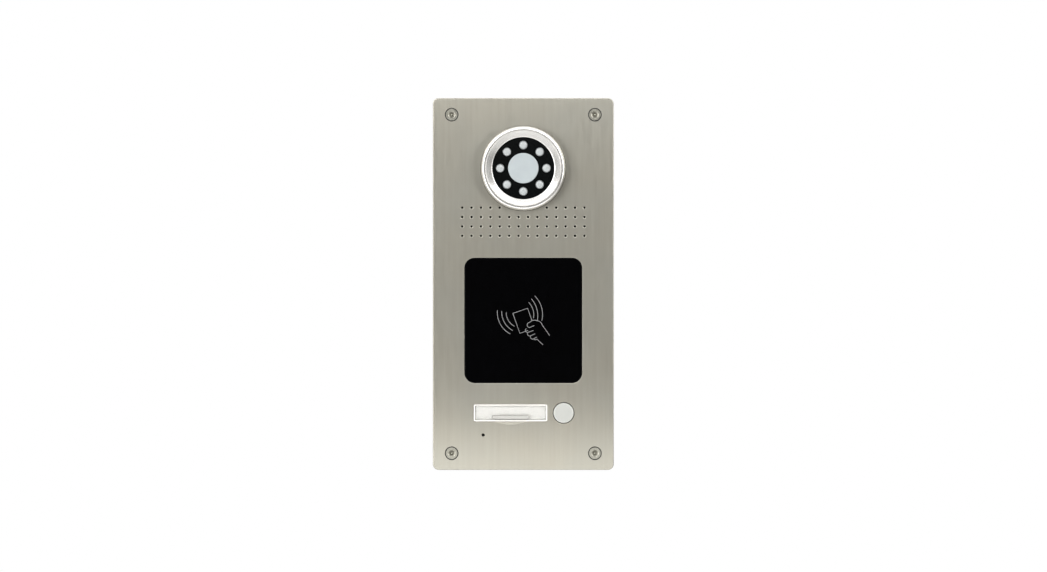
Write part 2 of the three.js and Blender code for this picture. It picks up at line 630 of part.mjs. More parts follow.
function speakerBasket() {
  const { width, cornerR, rearThick } = speaker;
  const openW = width - 2 * speakerFlange.width;
  const openH = speakerH - speakerFlange.width;
  const flangeBackZ = speakerFrontZ - speakerFlange.thick;
  const skirtW = openW + 2 * rearThick;
  const skirtH = openH + 2 * rearThick;
  const rim = prism(roundedRect(width, speakerH, cornerR), flangeBackZ, speakerFrontZ);
  const skirtFrontZ = (flangeBackZ + speakerFrontZ) / 2;
  const skirt = prism(roundedRect(skirtW, skirtH, cornerR), speakerRearZ, skirtFrontZ);
  const hollow = prism(roundedRect(openW, openH, cornerR), speakerRearZ + rearThick, speakerFrontZ + OVERRUN);
  const { width: magnetW, height: magnetH, border } = speakerMagnet;
  const coilHole = roundedRect(magnetW - 2 * border, magnetH - 2 * border, speakerMagnet.cornerR);
  return cut(join(rim, skirt), hollow, prism(coilHole, speakerRearZ - OVERRUN, speakerFrontZ));
}

// An oval cone with a rolled edge and a coil former, drawn round and stretched sideways.
function coneBody() {
  const openH = speakerH - speakerFlange.width;
  const openW = speaker.width - 2 * speakerFlange.width;
  const { thick, edge, rollWidth, backset } = speakerCone;
  const rimR = openH / 2 - edge;
  const rimZ = speakerFrontZ - backset;
  const coilR = voiceCoil.radius;
  const coilTopZ = speakerFrontZ - voiceCoil.backset;
  const coilEndZ = coilTopZ - voiceCoil.length;
  const profile = [
    [0, coilTopZ + 2 * thick],
    [coilR, coilTopZ + thick],
    [rimR - rollWidth, rimZ],
    [rimR - rollWidth / 2, rimZ + rollWidth / 2],
    [rimR, rimZ],
    [rimR, rimZ - thick],
    [rimR - rollWidth, rimZ - 2 * thick],
    [coilR, coilTopZ],
    [coilR, coilEndZ],
    [coilR - thick, coilEndZ],
    [coilR - thick, coilTopZ],
    [0, coilTopZ + thick],
  ];
  const stretch = (openW / 2 - edge) / rimR;
  return turned(profile, FACETS.medium).scale(stretch, 1, 1);
}

function loudspeaker() {
  const magnetFrontZ = speakerRearZ - SEAT_GAP;
  const magnetShape = roundedRect(speakerMagnet.width, speakerMagnet.height, speakerMagnet.cornerR);
  const magnet = prism(magnetShape, magnetFrontZ - speakerMagnet.depth, magnetFrontZ);
  return [
    piece("dust_mesh", grilleCover(meshBackZ, meshFrontZ, 0), "meshCloth"),
    piece("speaker_gasket", foamFrame(), "foam"),
    groupAt(0, speakerY, [
      piece("speaker_frame", speakerBasket(), "blackPlastic"),
      piece("speaker_cone", coneBody(), "conePaper"),
      piece("speaker_magnet", magnet, "ferrite"),
    ]),
  ];
}

// ---------------------------------------------------------------- card reader

function cardReader() {
  const { width, height, cornerR, flange, flangeThick } = cardWindow;
  const face = prism(roundedRect(width, height, cornerR), windowBackZ, windowFaceZ);
  const backShape = roundedRect(cardFlangeW, cardFlangeH, cornerR + flange);
  const back = prism(backShape, windowBackZ, windowBackZ + flangeThick);
  const coilFrontZ = windowBackZ - SEAT_GAP;
  const coilBackZ = coilFrontZ - antennaCoil.thick;
  const boardW = width - 2 * antennaBoard.insetX;
  const boardH = height - 2 * antennaBoard.insetY;
  const boardFrontZ = coilBackZ - SEAT_GAP;
  const boardShape = roundedRect(boardW, boardH, antennaBoard.cornerR);
  const board = prism(boardShape, boardFrontZ - antennaBoard.thick, boardFrontZ);
  const coilW = boardW - 2 * antennaCoil.inset;
  const coilH = boardH - 2 * antennaCoil.inset;
  const { band, cornerR: coilCornerR, innerR } = antennaCoil;
  const coilOuter = roundedRect(coilW, coilH, coilCornerR);
  const coilInner = roundedRect(coilW - 2 * band, coilH - 2 * band, innerR);
  const coil = frame(coilOuter, coilInner, coilBackZ, coilFrontZ);
  return groupAt(0, cardY, [
    piece("card_window", join(face, back), "blackGloss"),
    piece("antenna_coil", coil, "copper"),
    piece("antenna_board", board, "circuitBoard"),
  ]);
}

// ---------------------------------------------------------------- name window

function nameSurround() {
  const { width, height, cornerR } = nameWindow;
  const lip = nameFrame.lip;
  const rearZ = switchFootZ;
  const sleeve = prism(roundedRect(width, height, cornerR), rearZ, windowFaceZ);
  const lipFrontZ = plateBackZ - SEAT_GAP;
  const rimShape = roundedRect(width + 2 * lip, height + 2 * lip, cornerR + lip);
  const rim = prism(rimShape, lipFrontZ - nameFrame.lipThick, lipFrontZ);
  const openingShape = roundedRect(nameOpenW, nameOpenH, nameFrame.openingR);
  const opening = prism(openingShape, rearZ - OVERRUN, windowFaceZ + OVERRUN);
  const pinHole = rod(nameCover.pinR + FIT_GAP, -width, width).rotateY(Math.PI / 2);
  return cut(join(sleeve, rim), opening, pinHole.translate(0, nameHingeY, nameHingeZ));
}

// The cover's top edge is a half-round about the hinge pins, so that it can swing out.
function nameFlap() {
  const noseR = nameCover.thick / 2;
  const nose = rod(noseR, -nameCoverW / 2, nameCoverW / 2, SCREW_FACETS).rotateY(Math.PI / 2);
  const flatH = nameHingeY + nameCoverH / 2;
  const sheet = block(nameCoverW, flatH, nameCoverBackZ, nameCoverFrontZ, 0, nameHingeY - flatH / 2);
  const pinReach = nameWindow.width / 2 - LOOSE_GAP;
  const pins = rod(nameCover.pinR, -pinReach, pinReach).rotateY(Math.PI / 2);
  const { width, height, depth, aboveEdge } = fingerGroove;
  const grooveY = -nameCoverH / 2 + aboveEdge + height / 2;
  const grooveShape = roundedRect(width, height, height / 2 - SEAT_GAP, 0, grooveY);
  const groove = prism(grooveShape, nameCoverFrontZ - depth, nameCoverFrontZ + OVERRUN);
  const axis = [0, nameHingeY, nameHingeZ];
  return cut(join(sheet, nose.translate(...axis), pins.translate(...axis)), groove);
}

function nameUnit() {
  const guideFrontZ = nameCardBackZ - SEAT_GAP;
  const guide = block(nameCoverW, nameCoverH, guideFrontZ - lightGuide.thick, guideFrontZ);
  return groupAt(nameWindow.x, nameY, [
    piece("name_frame", nameSurround(), "whitePlastic"),
    piece("name_cover", nameFlap(), "clearPlastic"),
    piece("name_card", block(nameCoverW, nameCoverH, nameCardBackZ, nameCardFrontZ), "paper"),
    piece("name_light_guide", guide, "whitePlastic"),
  ]);
}

// ---------------------------------------------------------------- call button and microphone

function buttonCap() {
  const { radius, edgeR } = button;
  return turned([
    [0, stemEndZ],
    [buttonStem.radius, stemEndZ],
    [buttonStem.radius, buttonFlangeBackZ],
    [buttonFlangeR, buttonFlangeBackZ],
    [buttonFlangeR, buttonFlangeFrontZ],
    [radius, buttonFlangeFrontZ],
    ...arc(radius - edgeR, buttonFrontZ - edgeR, edgeR, edgeR, 0, 90, 2),
    [0, buttonFrontZ],
  ], FACETS.medium);
}

function guideCollar() {
  return turned([
    [collarWellR, switchFootZ],
    [collarR, switchFootZ],
    [collarR, collarFrontZ],
    [collarBoreR, collarFrontZ],
    [collarBoreR, collarShoulderZ],
    [collarWellR, collarShoulderZ],
  ], FACETS.medium);
}

class Helix extends THREE.Curve {
  getPoint(t, target = new THREE.Vector3()) {
    const angle = 2 * Math.PI * spring.turns * t;
    const lowZ = keyBoard.frontZ + spring.wireR + FIT_GAP;
    const highZ = buttonFlangeBackZ - spring.wireR - FIT_GAP;
    const x = spring.meanR * Math.cos(angle);
    const y = spring.meanR * Math.sin(angle);
    return target.set(x, y, lowZ + (highZ - lowZ) * t);
  }
}

function returnSpring() {
  const section = new THREE.Shape().absarc(0, 0, spring.wireR, 0, 2 * Math.PI);
  return new THREE.ExtrudeGeometry(section, {
    steps: SPRING_STEPS * spring.turns,
    curveSegments: 3,
    extrudePath: new Helix(),
  });
}

function switchHousing() {
  const { size, plungerR } = callSwitch;
  const well = rod(plungerR + FIT_GAP, switchWellZ, switchTopZ + OVERRUN, FACETS.small);
  return cut(block(size, size, switchFootZ, switchTopZ), well);
}

function callButtonUnit() {
  return groupAt(buttonX, nameY, [
    piece("call_button", buttonCap(), "buttonMetal"),
    piece("button_collar", guideCollar(), "blackPlastic"),
    piece("button_spring", returnSpring(), "springSteel"),
    piece("switch_body", switchHousing(), "blackPlastic"),
    piece("switch_plunger", rod(callSwitch.plungerR, plungerFootZ, plungerTopZ), "whitePlastic"),
  ]);
}

// The key board runs under the name window and the button, with two small lamps behind the name card.
function keyBoardPiece() {
  const left = nameWindow.x - nameWindow.width / 2 - keyBoard.border;
  const right = buttonX + collarR + keyBoard.border;
  const height = 2 * (collarR + keyBoard.border);
  const board = block(right - left, height, keyBoardRearZ, keyBoard.frontZ, (left + right) / 2);
  const lamps = [-keyLamp.fromMiddle, keyLamp.fromMiddle].map((x) => {
    const topZ = keyBoard.frontZ + keyLamp.thick;
    return block(keyLamp.width, keyLamp.height, keyBoardRearZ, topZ, nameWindow.x + x);
  });
  return piece("key_board", join(board, ...lamps), "circuitBoard", 0, nameY);
}

function microphone() {
  const rearZ = micFrontZ - micBoot.depth;
  const pocketZ = micFrontZ - micBoot.front;
  const boot = turned([
    [mic.capsuleR + FIT_GAP, rearZ],
    [micBoot.radius, rearZ],
    [micBoot.radius, micFrontZ],
    [mic.holeR, micFrontZ],
    [mic.holeR, pocketZ],
    [mic.capsuleR + FIT_GAP, pocketZ],
  ], FACETS.medium);
  const capsuleFrontZ = pocketZ - FIT_GAP;
  const capsule = rod(mic.capsuleR, capsuleFrontZ - mic.capsuleDepth, capsuleFrontZ, FACETS.medium);
  return groupAt(mic.x, micY, [
    piece("mic_boot", boot, "rubber"),
    piece("mic_capsule", capsule, "turnedAluminium"),
  ]);
}

// ---------------------------------------------------------------- rear case and main board

function terminalWidth(ways) {
  return ways * terminal.pitch;
}

// Screw terminals face backwards, with their wire holes on the lower side.
function terminalBlock({ x, ways }) {
  const topZ = boardRearZ - SEAT_GAP;
  const rearZ = topZ - terminal.height;
  const body = block(terminalWidth(ways), terminal.depth, rearZ, topZ, x, terminal.y);
  const tools = [];
  for (let way = 0; way < ways; way += 1) {
    const wayX = x + (way - (ways - 1) / 2) * terminal.pitch;
    const screwHole = rod(terminalScrew.radius, rearZ - OVERRUN, rearZ + terminalScrew.depth, 8);
    tools.push(screwHole.translate(wayX, terminal.y + terminalScrew.fromMiddle, 0));
    const wireHole = rod(terminalWire.radius, -OVERRUN, terminalWire.depth, 8).rotateX(-Math.PI / 2);
    tools.push(wireHole.translate(wayX, terminal.y - terminal.depth / 2, rearZ + terminalWire.fromRear));
  }
  return cut(body, ...tools);
}

function caseShell() {
  const { wall, rearZ, cornerR } = rearCase;
  const outer = prism(roundedRect(2 * halfCaseW, 2 * halfCaseH, cornerR), rearZ, caseFrontZ);
  const hollow = prism(roundedRect(2 * halfCaseInnerW, 2 * (halfCaseH - wall), cornerR - wall),
    caseFloorZ, caseFrontZ + OVERRUN);
  const bossTopZ = plateBackZ - boss.bushLength - FIT_GAP;
  const bosses = atCorners(bossX, bossY, (x, y) => {
    return rod(boss.radius, rearZ + wall / 2, bossTopZ).translate(x, y, 0);
  });
  const bores = atCorners(bossX, bossY, (x, y) => {
    return rod(boss.boreR, rearZ - OVERRUN, bossTopZ + OVERRUN).translate(x, y, 0);
  });
  const postX = boardHalfW - boardPost.inset;
  const posts = [-postX, postX].flatMap((x) => {
    return [boardFootY + boardPost.inset, boardTopY - boardPost.inset].map((y) => {
      return rod(boardPost.radius, rearZ + wall / 2, boardRearZ - FIT_GAP, 8).translate(x, y, 0);
    });
  });
  const hatches = [busTerminal, lockTerminal].map(({ x, ways }) => {
    const grow = 2 * terminal.hatchGap;
    const width = terminalWidth(ways) + grow;
    return block(width, terminal.depth + grow, rearZ - OVERRUN, caseFloorZ + OVERRUN, x, terminal.y);
  });
  const trimmerHatch = rod(trimmerRotor.radius + trimmer.hatchGap, rearZ - OVERRUN, caseFloorZ + OVERRUN);
  const shell = join(cut(outer, hollow), ...bosses, ...posts);
  return cut(shell, ...bores, ...hatches, trimmerHatch.translate(trimmer.x, trimmer.y, 0));
}

function caseScrewBody() {
  const headFrontZ = rearCase.rearZ - FIT_GAP;
  const headBackZ = headFrontZ - caseScrew.headHeight;
  const { headR, shankR, length, slotWidth, slotDepth } = caseScrew;
  const body = turned([
    [0, headBackZ],
    [headR, headBackZ],
    [headR, headFrontZ],
    [shankR, headFrontZ],
    [shankR, headFrontZ + length],
    [0, headFrontZ + length],
  ], 8);
  const slot = block(3 * headR, slotWidth, headBackZ - OVERRUN, headBackZ + slotDepth);
  return cut(body, slot);
}

function trimmerPieces() {
  const topZ = boardRearZ - SEAT_GAP;
  const bodyRearZ = topZ - trimmer.height;
  const rotorFrontZ = bodyRearZ - FIT_GAP;
  const rotorRearZ = rotorFrontZ - trimmerRotor.height;
  const { radius, slotWidth, slotDepth } = trimmerRotor;
  const slot = block(3 * radius, slotWidth, rotorRearZ - OVERRUN, rotorRearZ + slotDepth);
  return groupAt(trimmer.x, trimmer.y, [
    piece("volume_trimmer", block(trimmer.size, trimmer.size, bodyRearZ, topZ), "blackPlastic"),
    piece("trimmer_rotor", cut(rod(radius, rotorRearZ, rotorFrontZ), slot), "whitePlastic"),
  ]);
}

function rearHousing() {
  const boardHeight = boardTopY - boardFootY;
  const boardY = (boardTopY + boardFootY) / 2;
  const board = block(2 * boardHalfW, boardHeight, boardRearZ, mainBoard.frontZ, 0, boardY);
  return [
    piece("main_board", board, "circuitBoard"),
    piece("bus_terminal", terminalBlock(busTerminal), "greenTerminal"),
    piece("lock_terminal", terminalBlock(lockTerminal), "greenTerminal"),
    trimmerPieces(),
    piece("rear_case", caseShell(), "blackPlastic"),
    ...atCorners(bossX, bossY, (x, y) => [x, y]).map(([x, y], i) => {
      return piece(`case_screw_${i + 1}`, caseScrewBody(), "screwSteel", x, y);
    }),
  ];
}

// ---------------------------------------------------------------- wall box

function wallBox() {
  const { sheet, depth, cornerR } = box;
  const rearZ = -depth;
  const outer = prism(roundedRect(2 * halfBoxW, 2 * halfBoxH, cornerR), rearZ, boxFrontZ);
  const hollow = prism(roundedRect(2 * (halfBoxW - sheet), 2 * (halfBoxH - sheet), cornerR - sheet),
    rearZ + sheet, boxFrontZ + OVERRUN);
  const entry = rod(cableEntry.holeR, -halfBoxH - OVERRUN, -halfBoxH + sheet + OVERRUN, FACETS.medium)
    .rotateX(-Math.PI / 2);
  const fixings = [-1, 1].map((end) => {
    const y = end * (halfBoxH - wallFixing.fromEnd);
    return rod(wallFixing.holeR, rearZ - OVERRUN, rearZ + sheet + OVERRUN).translate(0, y, 0);
  });
  return cut(outer, hollow, entry.translate(0, 0, cableEntry.z), ...fixings);
}

// A rubber grommet that grips the sheet round the cable hole in the box's lower wall.
function grommet() {
  const outsideY = -halfBoxH - cableEntry.grooveGap;
  const insideY = -halfBoxH + box.sheet + cableEntry.grooveGap;
  const { flangeR, flangeThick, boreR, holeR } = cableEntry;
  return turned([
    [boreR, outsideY - flangeThick],
    [flangeR, outsideY - flangeThick],
    [flangeR, outsideY],
    [holeR - LOOSE_GAP, outsideY],
    [holeR - LOOSE_GAP, insideY],
    [flangeR, insideY],
    [flangeR, insideY + flangeThick],
    [boreR, insideY + flangeThick],
  ], FACETS.medium).rotateX(-Math.PI / 2).translate(0, 0, cableEntry.z);
}

// An angle welded to the box's side wall at a corner (signX, signY), with a pressed nut behind the screw.
function nutAngle(signX, signY) {
  const wallX = halfBoxW - box.sheet - FIT_GAP - screwX;
  const wallY = halfBoxH - box.sheet - FIT_GAP - screwY;
  const { frontZ, thick, reachX, reachY, flangeDepth, flangeThick } = nutBracket;
  const tab = block(wallX + reachX, wallY + reachY, frontZ - thick, frontZ,
    (signX * (wallX - reachX)) / 2, (signY * (wallY - reachY)) / 2);
  const flange = block(flangeThick, wallY + reachY, frontZ - flangeDepth, frontZ,
    signX * (wallX - flangeThick / 2), (signY * (wallY - reachY)) / 2);
  const nut = rod(pressedNut.radius, frontZ - thick - pressedNut.depth, frontZ - thick / 2);
  const thread = rod(screw.shankR + FIT_GAP, frontZ - flangeDepth, frontZ + OVERRUN, SCREW_FACETS);
  return cut(join(tab, flange, nut), thread);
}

function wallBoxUnit() {
  return [
    piece("flush_box", wallBox(), "galvanised"),
    piece("cable_grommet", grommet(), "rubber"),
    ...atCorners(screwX, screwY, (x, y) => [x, y]).map(([x, y], i) => {
      return piece(`nut_bracket_${i + 1}`, nutAngle(Math.sign(x), Math.sign(y)), "galvanised", x, y);
    }),
  ];
}

// ---------------------------------------------------------------- the assembly

const doorPanel = new THREE.Group();
doorPanel.name = "door_intercom_panel";
doorPanel.add(
  piece("front_plate", frontPlate(), "stainless"),
  piece("panel_gasket", panelGasket(), "foam"),
  ...atCorners(screwX, screwY, (x, y) => [x, y]).map(([x, y], i) => {
    return piece(`panel_screw_${i + 1}`, panelScrew(), "screwSteel", x, y);
  }),
  cameraUnit(),
  ...loudspeaker(),
  cardReader(),
  nameUnit(),
  callButtonUnit(),
  keyBoardPiece(),
  microphone(),
  ...rearHousing(),
  ...wallBoxUnit(),
);
// Panel space stands upright: its Y becomes Z, and its Z points out of the wall along -Y.
doorPanel.rotation.x = Math.PI / 2;

export default doorPanel;
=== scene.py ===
import json
import math
from types import SimpleNamespace

import bmesh
import bpy
from mathutils import Matrix, Vector


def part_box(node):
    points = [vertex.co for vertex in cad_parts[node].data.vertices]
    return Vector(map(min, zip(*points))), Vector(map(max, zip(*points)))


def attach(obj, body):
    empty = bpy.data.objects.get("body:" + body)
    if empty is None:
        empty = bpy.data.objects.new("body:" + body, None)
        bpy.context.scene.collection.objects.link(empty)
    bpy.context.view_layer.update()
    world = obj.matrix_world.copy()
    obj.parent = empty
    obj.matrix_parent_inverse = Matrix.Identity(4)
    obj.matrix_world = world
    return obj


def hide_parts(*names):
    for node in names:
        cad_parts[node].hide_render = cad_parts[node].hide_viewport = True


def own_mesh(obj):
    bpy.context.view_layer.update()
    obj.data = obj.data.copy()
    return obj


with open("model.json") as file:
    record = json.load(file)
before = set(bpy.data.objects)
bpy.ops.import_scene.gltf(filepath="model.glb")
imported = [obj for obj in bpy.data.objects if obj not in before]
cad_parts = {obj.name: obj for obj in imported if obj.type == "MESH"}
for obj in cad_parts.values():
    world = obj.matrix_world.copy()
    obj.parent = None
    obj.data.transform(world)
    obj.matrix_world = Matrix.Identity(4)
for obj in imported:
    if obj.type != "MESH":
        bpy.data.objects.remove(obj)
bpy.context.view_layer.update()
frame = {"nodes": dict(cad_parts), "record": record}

MM = 0.001
PANEL = "panel"
TURN = 2 * math.pi
# Edges that turn more than this many degrees are drawn sharp.
SHARP = 32
# Vertices closer than this are one, in millimetres.
MERGE = 0.0005
# Distance from a corner to the line that holds a flat stretch flat, in millimetres.
HOLD = 0.08


# ---------------------------------------------------------------- camera

PICTURE_WIDTH = 724.5
CAMERA_DISTANCE = 3000
SENSOR = 36
AIM = (0.14, -1.38)


def place_camera():
    """A long lens, square on to the plate."""
    data = bpy.data.cameras.new("camera")
    data.sensor_width = SENSOR
    data.lens = SENSOR * CAMERA_DISTANCE / PICTURE_WIDTH
    data.clip_end = 100
    camera = bpy.data.objects.new("camera", data)
    camera.location = Vector((AIM[0], -CAMERA_DISTANCE, AIM[1])) * MM
    camera.rotation_euler = (math.pi / 2, 0, 0)
    bpy.context.scene.collection.objects.link(camera)
    bpy.context.scene.camera = camera


# ---------------------------------------------------------------- places from the frame


def place(node):
    """A node's box in millimetres."""
    low, high = (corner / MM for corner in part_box(node))
    middle = (low + high) / 2
    size = high - low
    return SimpleNamespace(
        left=low.x, right=high.x, front=low.y, back=high.y, foot=low.z, top=high.z,
        x=middle.x, y=middle.y, z=middle.z, width=size.x, depth=size.y, height=size.z)


plate = place("front_plate")
bezel = place("camera_bezel")
mask = place("camera_mask")
window = place("camera_window")
reader = place("card_window")
name = place("name_frame")
cover = place("name_cover")
button = place("call_button")
collar = place("button_collar")
mic = place("mic_capsule")
boot = place("mic_boot")
gasket = place("panel_gasket")
case = place("rear_case")
wall_box = place("flush_box")
grommet = place("cable_grommet")
screws = [place(f"panel_screw_{number}") for number in (1, 2, 3, 4)]
lamps = [place(f"night_led_{number}") for number in range(1, 9)]


# ---------------------------------------------------------------- shape tools


def at_angle(radius, degrees, x=0, z=0):
    angle = math.radians(degrees)
    return x + radius * math.cos(angle), z + radius * math.sin(angle)


def rounded(width, height, radius, x=0, z=0, steps=10):
    """Points round a rectangle with round corners."""
    points = []
    for sign_x, sign_z, start in ((1, 1, 0), (-1, 1, 90), (-1, -1, 180), (1, -1, 270)):
        corner_x = x + sign_x * (width / 2 - radius)
        corner_z = z + sign_z * (height / 2 - radius)
        for step in range(steps + 1):
            points.append(at_angle(radius, start + 90 * step / steps, corner_x, corner_z))
    return points


def circle(radius, x=0, z=0, steps=32):
    return [at_angle(radius, 360 * step / steps, x, z) for step in range(steps)]


def skin(bm, rings):
    """Walls through closed rings of points, each drawn out of the last; returns the end rings' edges."""
    verts = [bm.verts.new(point) for point in rings[0]]
    chains = [[bm.edges.new(pair) for pair in zip(verts, verts[1:] + verts[:1])]]
    for ring in rings[1:]:
        grown = bmesh.ops.extrude_edge_only(bm, edges=chains[-1])["geom"]
        fresh = {part for part in grown if isinstance(part, bmesh.types.BMVert)}
        verts = [next(edge.other_vert(vert) for edge in vert.link_edges if edge.other_vert(vert) in fresh)
                 for vert in verts]
        for vert, point in zip(verts, ring):
            vert.co = point
        chains.append([bm.edges.get(pair) for pair in zip(verts, verts[1:] + verts[:1])])
    return chains[0], chains[-1]


def held(points, closed=False):
    """Points with two more near the ends of each long stretch, so that flat stretches are shaded flat."""
    kept = []
    following = points[1:] + points[:1] if closed else points[1:]
    for start, end in zip(points, following):
        kept.append(start)
        a, b = Vector(start), Vector(end)
        if (b - a).length > 4 * HOLD:
            step = (b - a).normalized() * HOLD
            kept += [tuple(a + step), tuple(b - step)]
    return kept if closed else kept + [points[-1]]


def wall(bm, outline, stations):
    """Walls through an outline at each (offset, depth); the first and last loops stay open."""
    return skin(bm, [[(x, y, z) for x, z in outline(offset)] for offset, y in held(stations)])


def cap(bm, *loops):
    """A flat face inside the first loop, less the loops in it, with sharp edges round it."""
    edges = [edge for chain in loops for edge in chain]
    bmesh.ops.triangle_fill(bm, use_beauty=True, use_dissolve=False, edges=edges)
    for edge in edges:
        edge.smooth = False


def eased(front, edge, back, sign=1, steps=3):
    """Stations of a wall whose front edge is rounded by edge; sign is 1 outside a shape, -1 in a hole."""
    stations = []
    for step in range(steps + 1):
        angle = math.pi / 2 * step / steps
        inset = edge * (1 - math.sin(angle))
        stations.append((-sign * inset, front + edge * (1 - math.cos(angle))))
    return stations + [(0, back)]


def box_outline(width, height, radius, x=0, z=0, steps=10):
    def outline(offset):
        return rounded(width + 2 * offset, height + 2 * offset, radius + offset, x, z, steps)
    return outline


def round_outline(radius, x=0, z=0, steps=32):
    def outline(offset):
        return circle(radius + offset, x, z, steps)
    return outline


def slab(bm, outline, stations):
    front, back = wall(bm, outline, stations)
    cap(bm, front)
    cap(bm, back)


def eased_both(front, back, edge, steps=2):
    """Stations of an outer wall with both edges rounded."""
    near = eased(front, edge, back - edge, 1, steps)
    far = [(offset, front + back - y) for offset, y in eased(front, edge, back, 1, steps)[:-1]]
    return near[:-1] + far[::-1]


def turned(bm, profile, x=0, z=0, steps=64):
    """A body turned about the line (x, z) along Y from (radius, y) points."""
    closed = min(radius for radius, y in profile) > 0
    verts = [bm.verts.new((x + radius, y, z)) for radius, y in held(profile, closed)]
    following = verts[1:] + verts[:1] if closed else verts[1:]
    edges = [bm.edges.new(pair) for pair in zip(verts, following)]
    bmesh.ops.spin(bm, geom=verts + edges, cent=(x, 0, z), axis=(0, 1, 0), angle=TURN,
                   steps=steps, use_merge=True)


def quarter(radius, y, radius_r, radius_y, start, end, steps=6):
    """(radius, y) points on an elliptical arc about (radius, y); 0 degrees is outwards and 90 is forwards."""
    points = []
    for step in range(steps + 1):
        angle = math.radians(start + (end - start) * step / steps)
        points.append((radius + radius_r * math.cos(angle), y - radius_y * math.sin(angle)))
    return points


def thread(radius, start, end, pitch, depth):
    """Profile points of a screw's thread, drawn as rings."""
    points = []
    count = int((end - start) / pitch)
    for turn in range(count):
        y = start + turn * pitch
        points += [(radius - depth, y), (radius, y + pitch * 0.4), (radius, y + pitch * 0.55)]
    return points


def rod(bm, radius, start, end, steps=24):
    """A closed cylinder from start to end, each (x, y, z)."""
    low, high = Vector(start), Vector(end)
    along = high - low
    turn = along.to_track_quat("Z", "X").to_matrix().to_4x4()
    bmesh.ops.create_cone(bm, cap_ends=True, segments=steps, radius1=radius, radius2=radius,
                          depth=along.length, matrix=Matrix.Translation((low + high) / 2) @ turn)


def biggest_face_at(bm, normal, reach):
    """The largest flat face square to normal, reach millimetres out along it."""
    out = Vector(normal)
    bm.normal_update()
    facing = [face for face in bm.faces if abs(face.normal.dot(out)) > 0.999
              and abs(face.calc_center_median().dot(out) - reach) < 0.01]
    return max(facing, key=lambda face: face.calc_area())


def open_face(bm, face, *loops):
    """Fills a flat face again round loops that lie in it."""
    border = list(face.edges)
    bmesh.ops.delete(bm, geom=[face], context="FACES_ONLY")
    edges = border + [edge for chain in loops for edge in chain]
    bmesh.ops.triangle_fill(bm, use_beauty=True, use_dissolve=False, edges=edges)


def ring_about(radius, centre, normal, depth=0.0, steps=40):
    """Points round a circle about centre, square to normal and depth below the surface."""
    out = Vector(normal)
    turn = out.to_track_quat("Z", "Y")
    middle = Vector(centre) - depth * out
    return [middle + turn @ Vector((*at_angle(radius, 360 * step / steps), 0)) for step in range(steps)]


def pressing(bm, centre, normal, stations, steps=40):
    """Rings pressed into a flat face from (radius, depth) stations; returns the first loop, in the face."""
    mouth, floor = skin(bm, [ring_about(radius, centre, normal, depth, steps) for radius, depth in stations])
    cap(bm, floor)
    return mouth


def piece(title, bm, material, slot, *nodes, body=PANEL, sharp=SHARP):
    """Makes a shape drawn in millimetres a piece of a body, in place of CAD nodes."""
    bmesh.ops.remove_doubles(bm, verts=bm.verts, dist=MERGE)
    bmesh.ops.recalc_face_normals(bm, faces=bm.faces)
    for face in bm.faces:
        face.smooth = True
    limit = math.radians(sharp)
    for edge in bm.edges:
        if edge.is_manifold and edge.calc_face_angle() > limit:
            edge.smooth = False
    bmesh.ops.scale(bm, vec=(MM, MM, MM), verts=bm.verts)
    mesh = bpy.data.meshes.new(title)
    bm.to_mesh(mesh)
    bm.free()
    return fit(title, mesh, material, slot, *nodes, body=body)


def fit(title, mesh, material, slot, *nodes, body=PANEL):
    made = bpy.data.objects.new(title, mesh)
    bpy.context.scene.collection.objects.link(made)
    if not mesh.materials:
        mesh.materials.append(material)
    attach(made, body)
    if nodes:
        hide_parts(*nodes)
    return made


# ---------------------------------------------------------------- material tools


def linear(code):
    """An sRGB hex colour as linear red, green, blue and alpha."""
    channels = [int(code[i:i + 2], 16) / 255 for i in (1, 3, 5)]
    return [c / 12.92 if c <= 0.04045 else ((c + 0.055) / 1.055) ** 2.4 for c in channels] + [1.0]


def per_mm(size):
    """Texture scale, in features per metre, for one feature of this size in millimetres."""
    return 1 / (size * MM)


def feed(tree, socket, value):
    """Gives a socket a plain value, another node's output, or a node's first output."""
    if isinstance(value, bpy.types.Node):
        value = value.outputs[0]
    if isinstance(value, bpy.types.NodeSocket):
        tree.links.new(value, socket)
    else:
        socket.default_value = value


def add(tree, kind, sockets=None, **settings):
    """Adds a shader node with its settings and links."""
    made = tree.nodes.new("ShaderNode" + kind)
    for title, value in settings.items():
        setattr(made, title, value)
    for title, value in (sockets or {}).items():
        feed(tree, made.inputs[title], value)
    return made


def wire(finish, **links):
    """Sets or links the shader's sockets; names with _ stand for sockets with spaces."""
    for title, value in links.items():
        feed(finish.tree, finish.shader.inputs[title.replace("_", " ")], value)


def surface(title, code, roughness, **sockets):
    """A material with one Principled shader."""
    material = bpy.data.materials.new(title)
    material.use_nodes = True
    tree = material.node_tree
    where = add(tree, "TexCoord").outputs["Object"]
    finish = SimpleNamespace(material=material, tree=tree, shader=tree.nodes["Principled BSDF"], where=where)
    wire(finish, Base_Color=linear(code), Roughness=roughness, **sockets)
    return finish


# Most patterns keep to the middle of their range, between these two values.
MIDDLE = (0.3, 0.7)


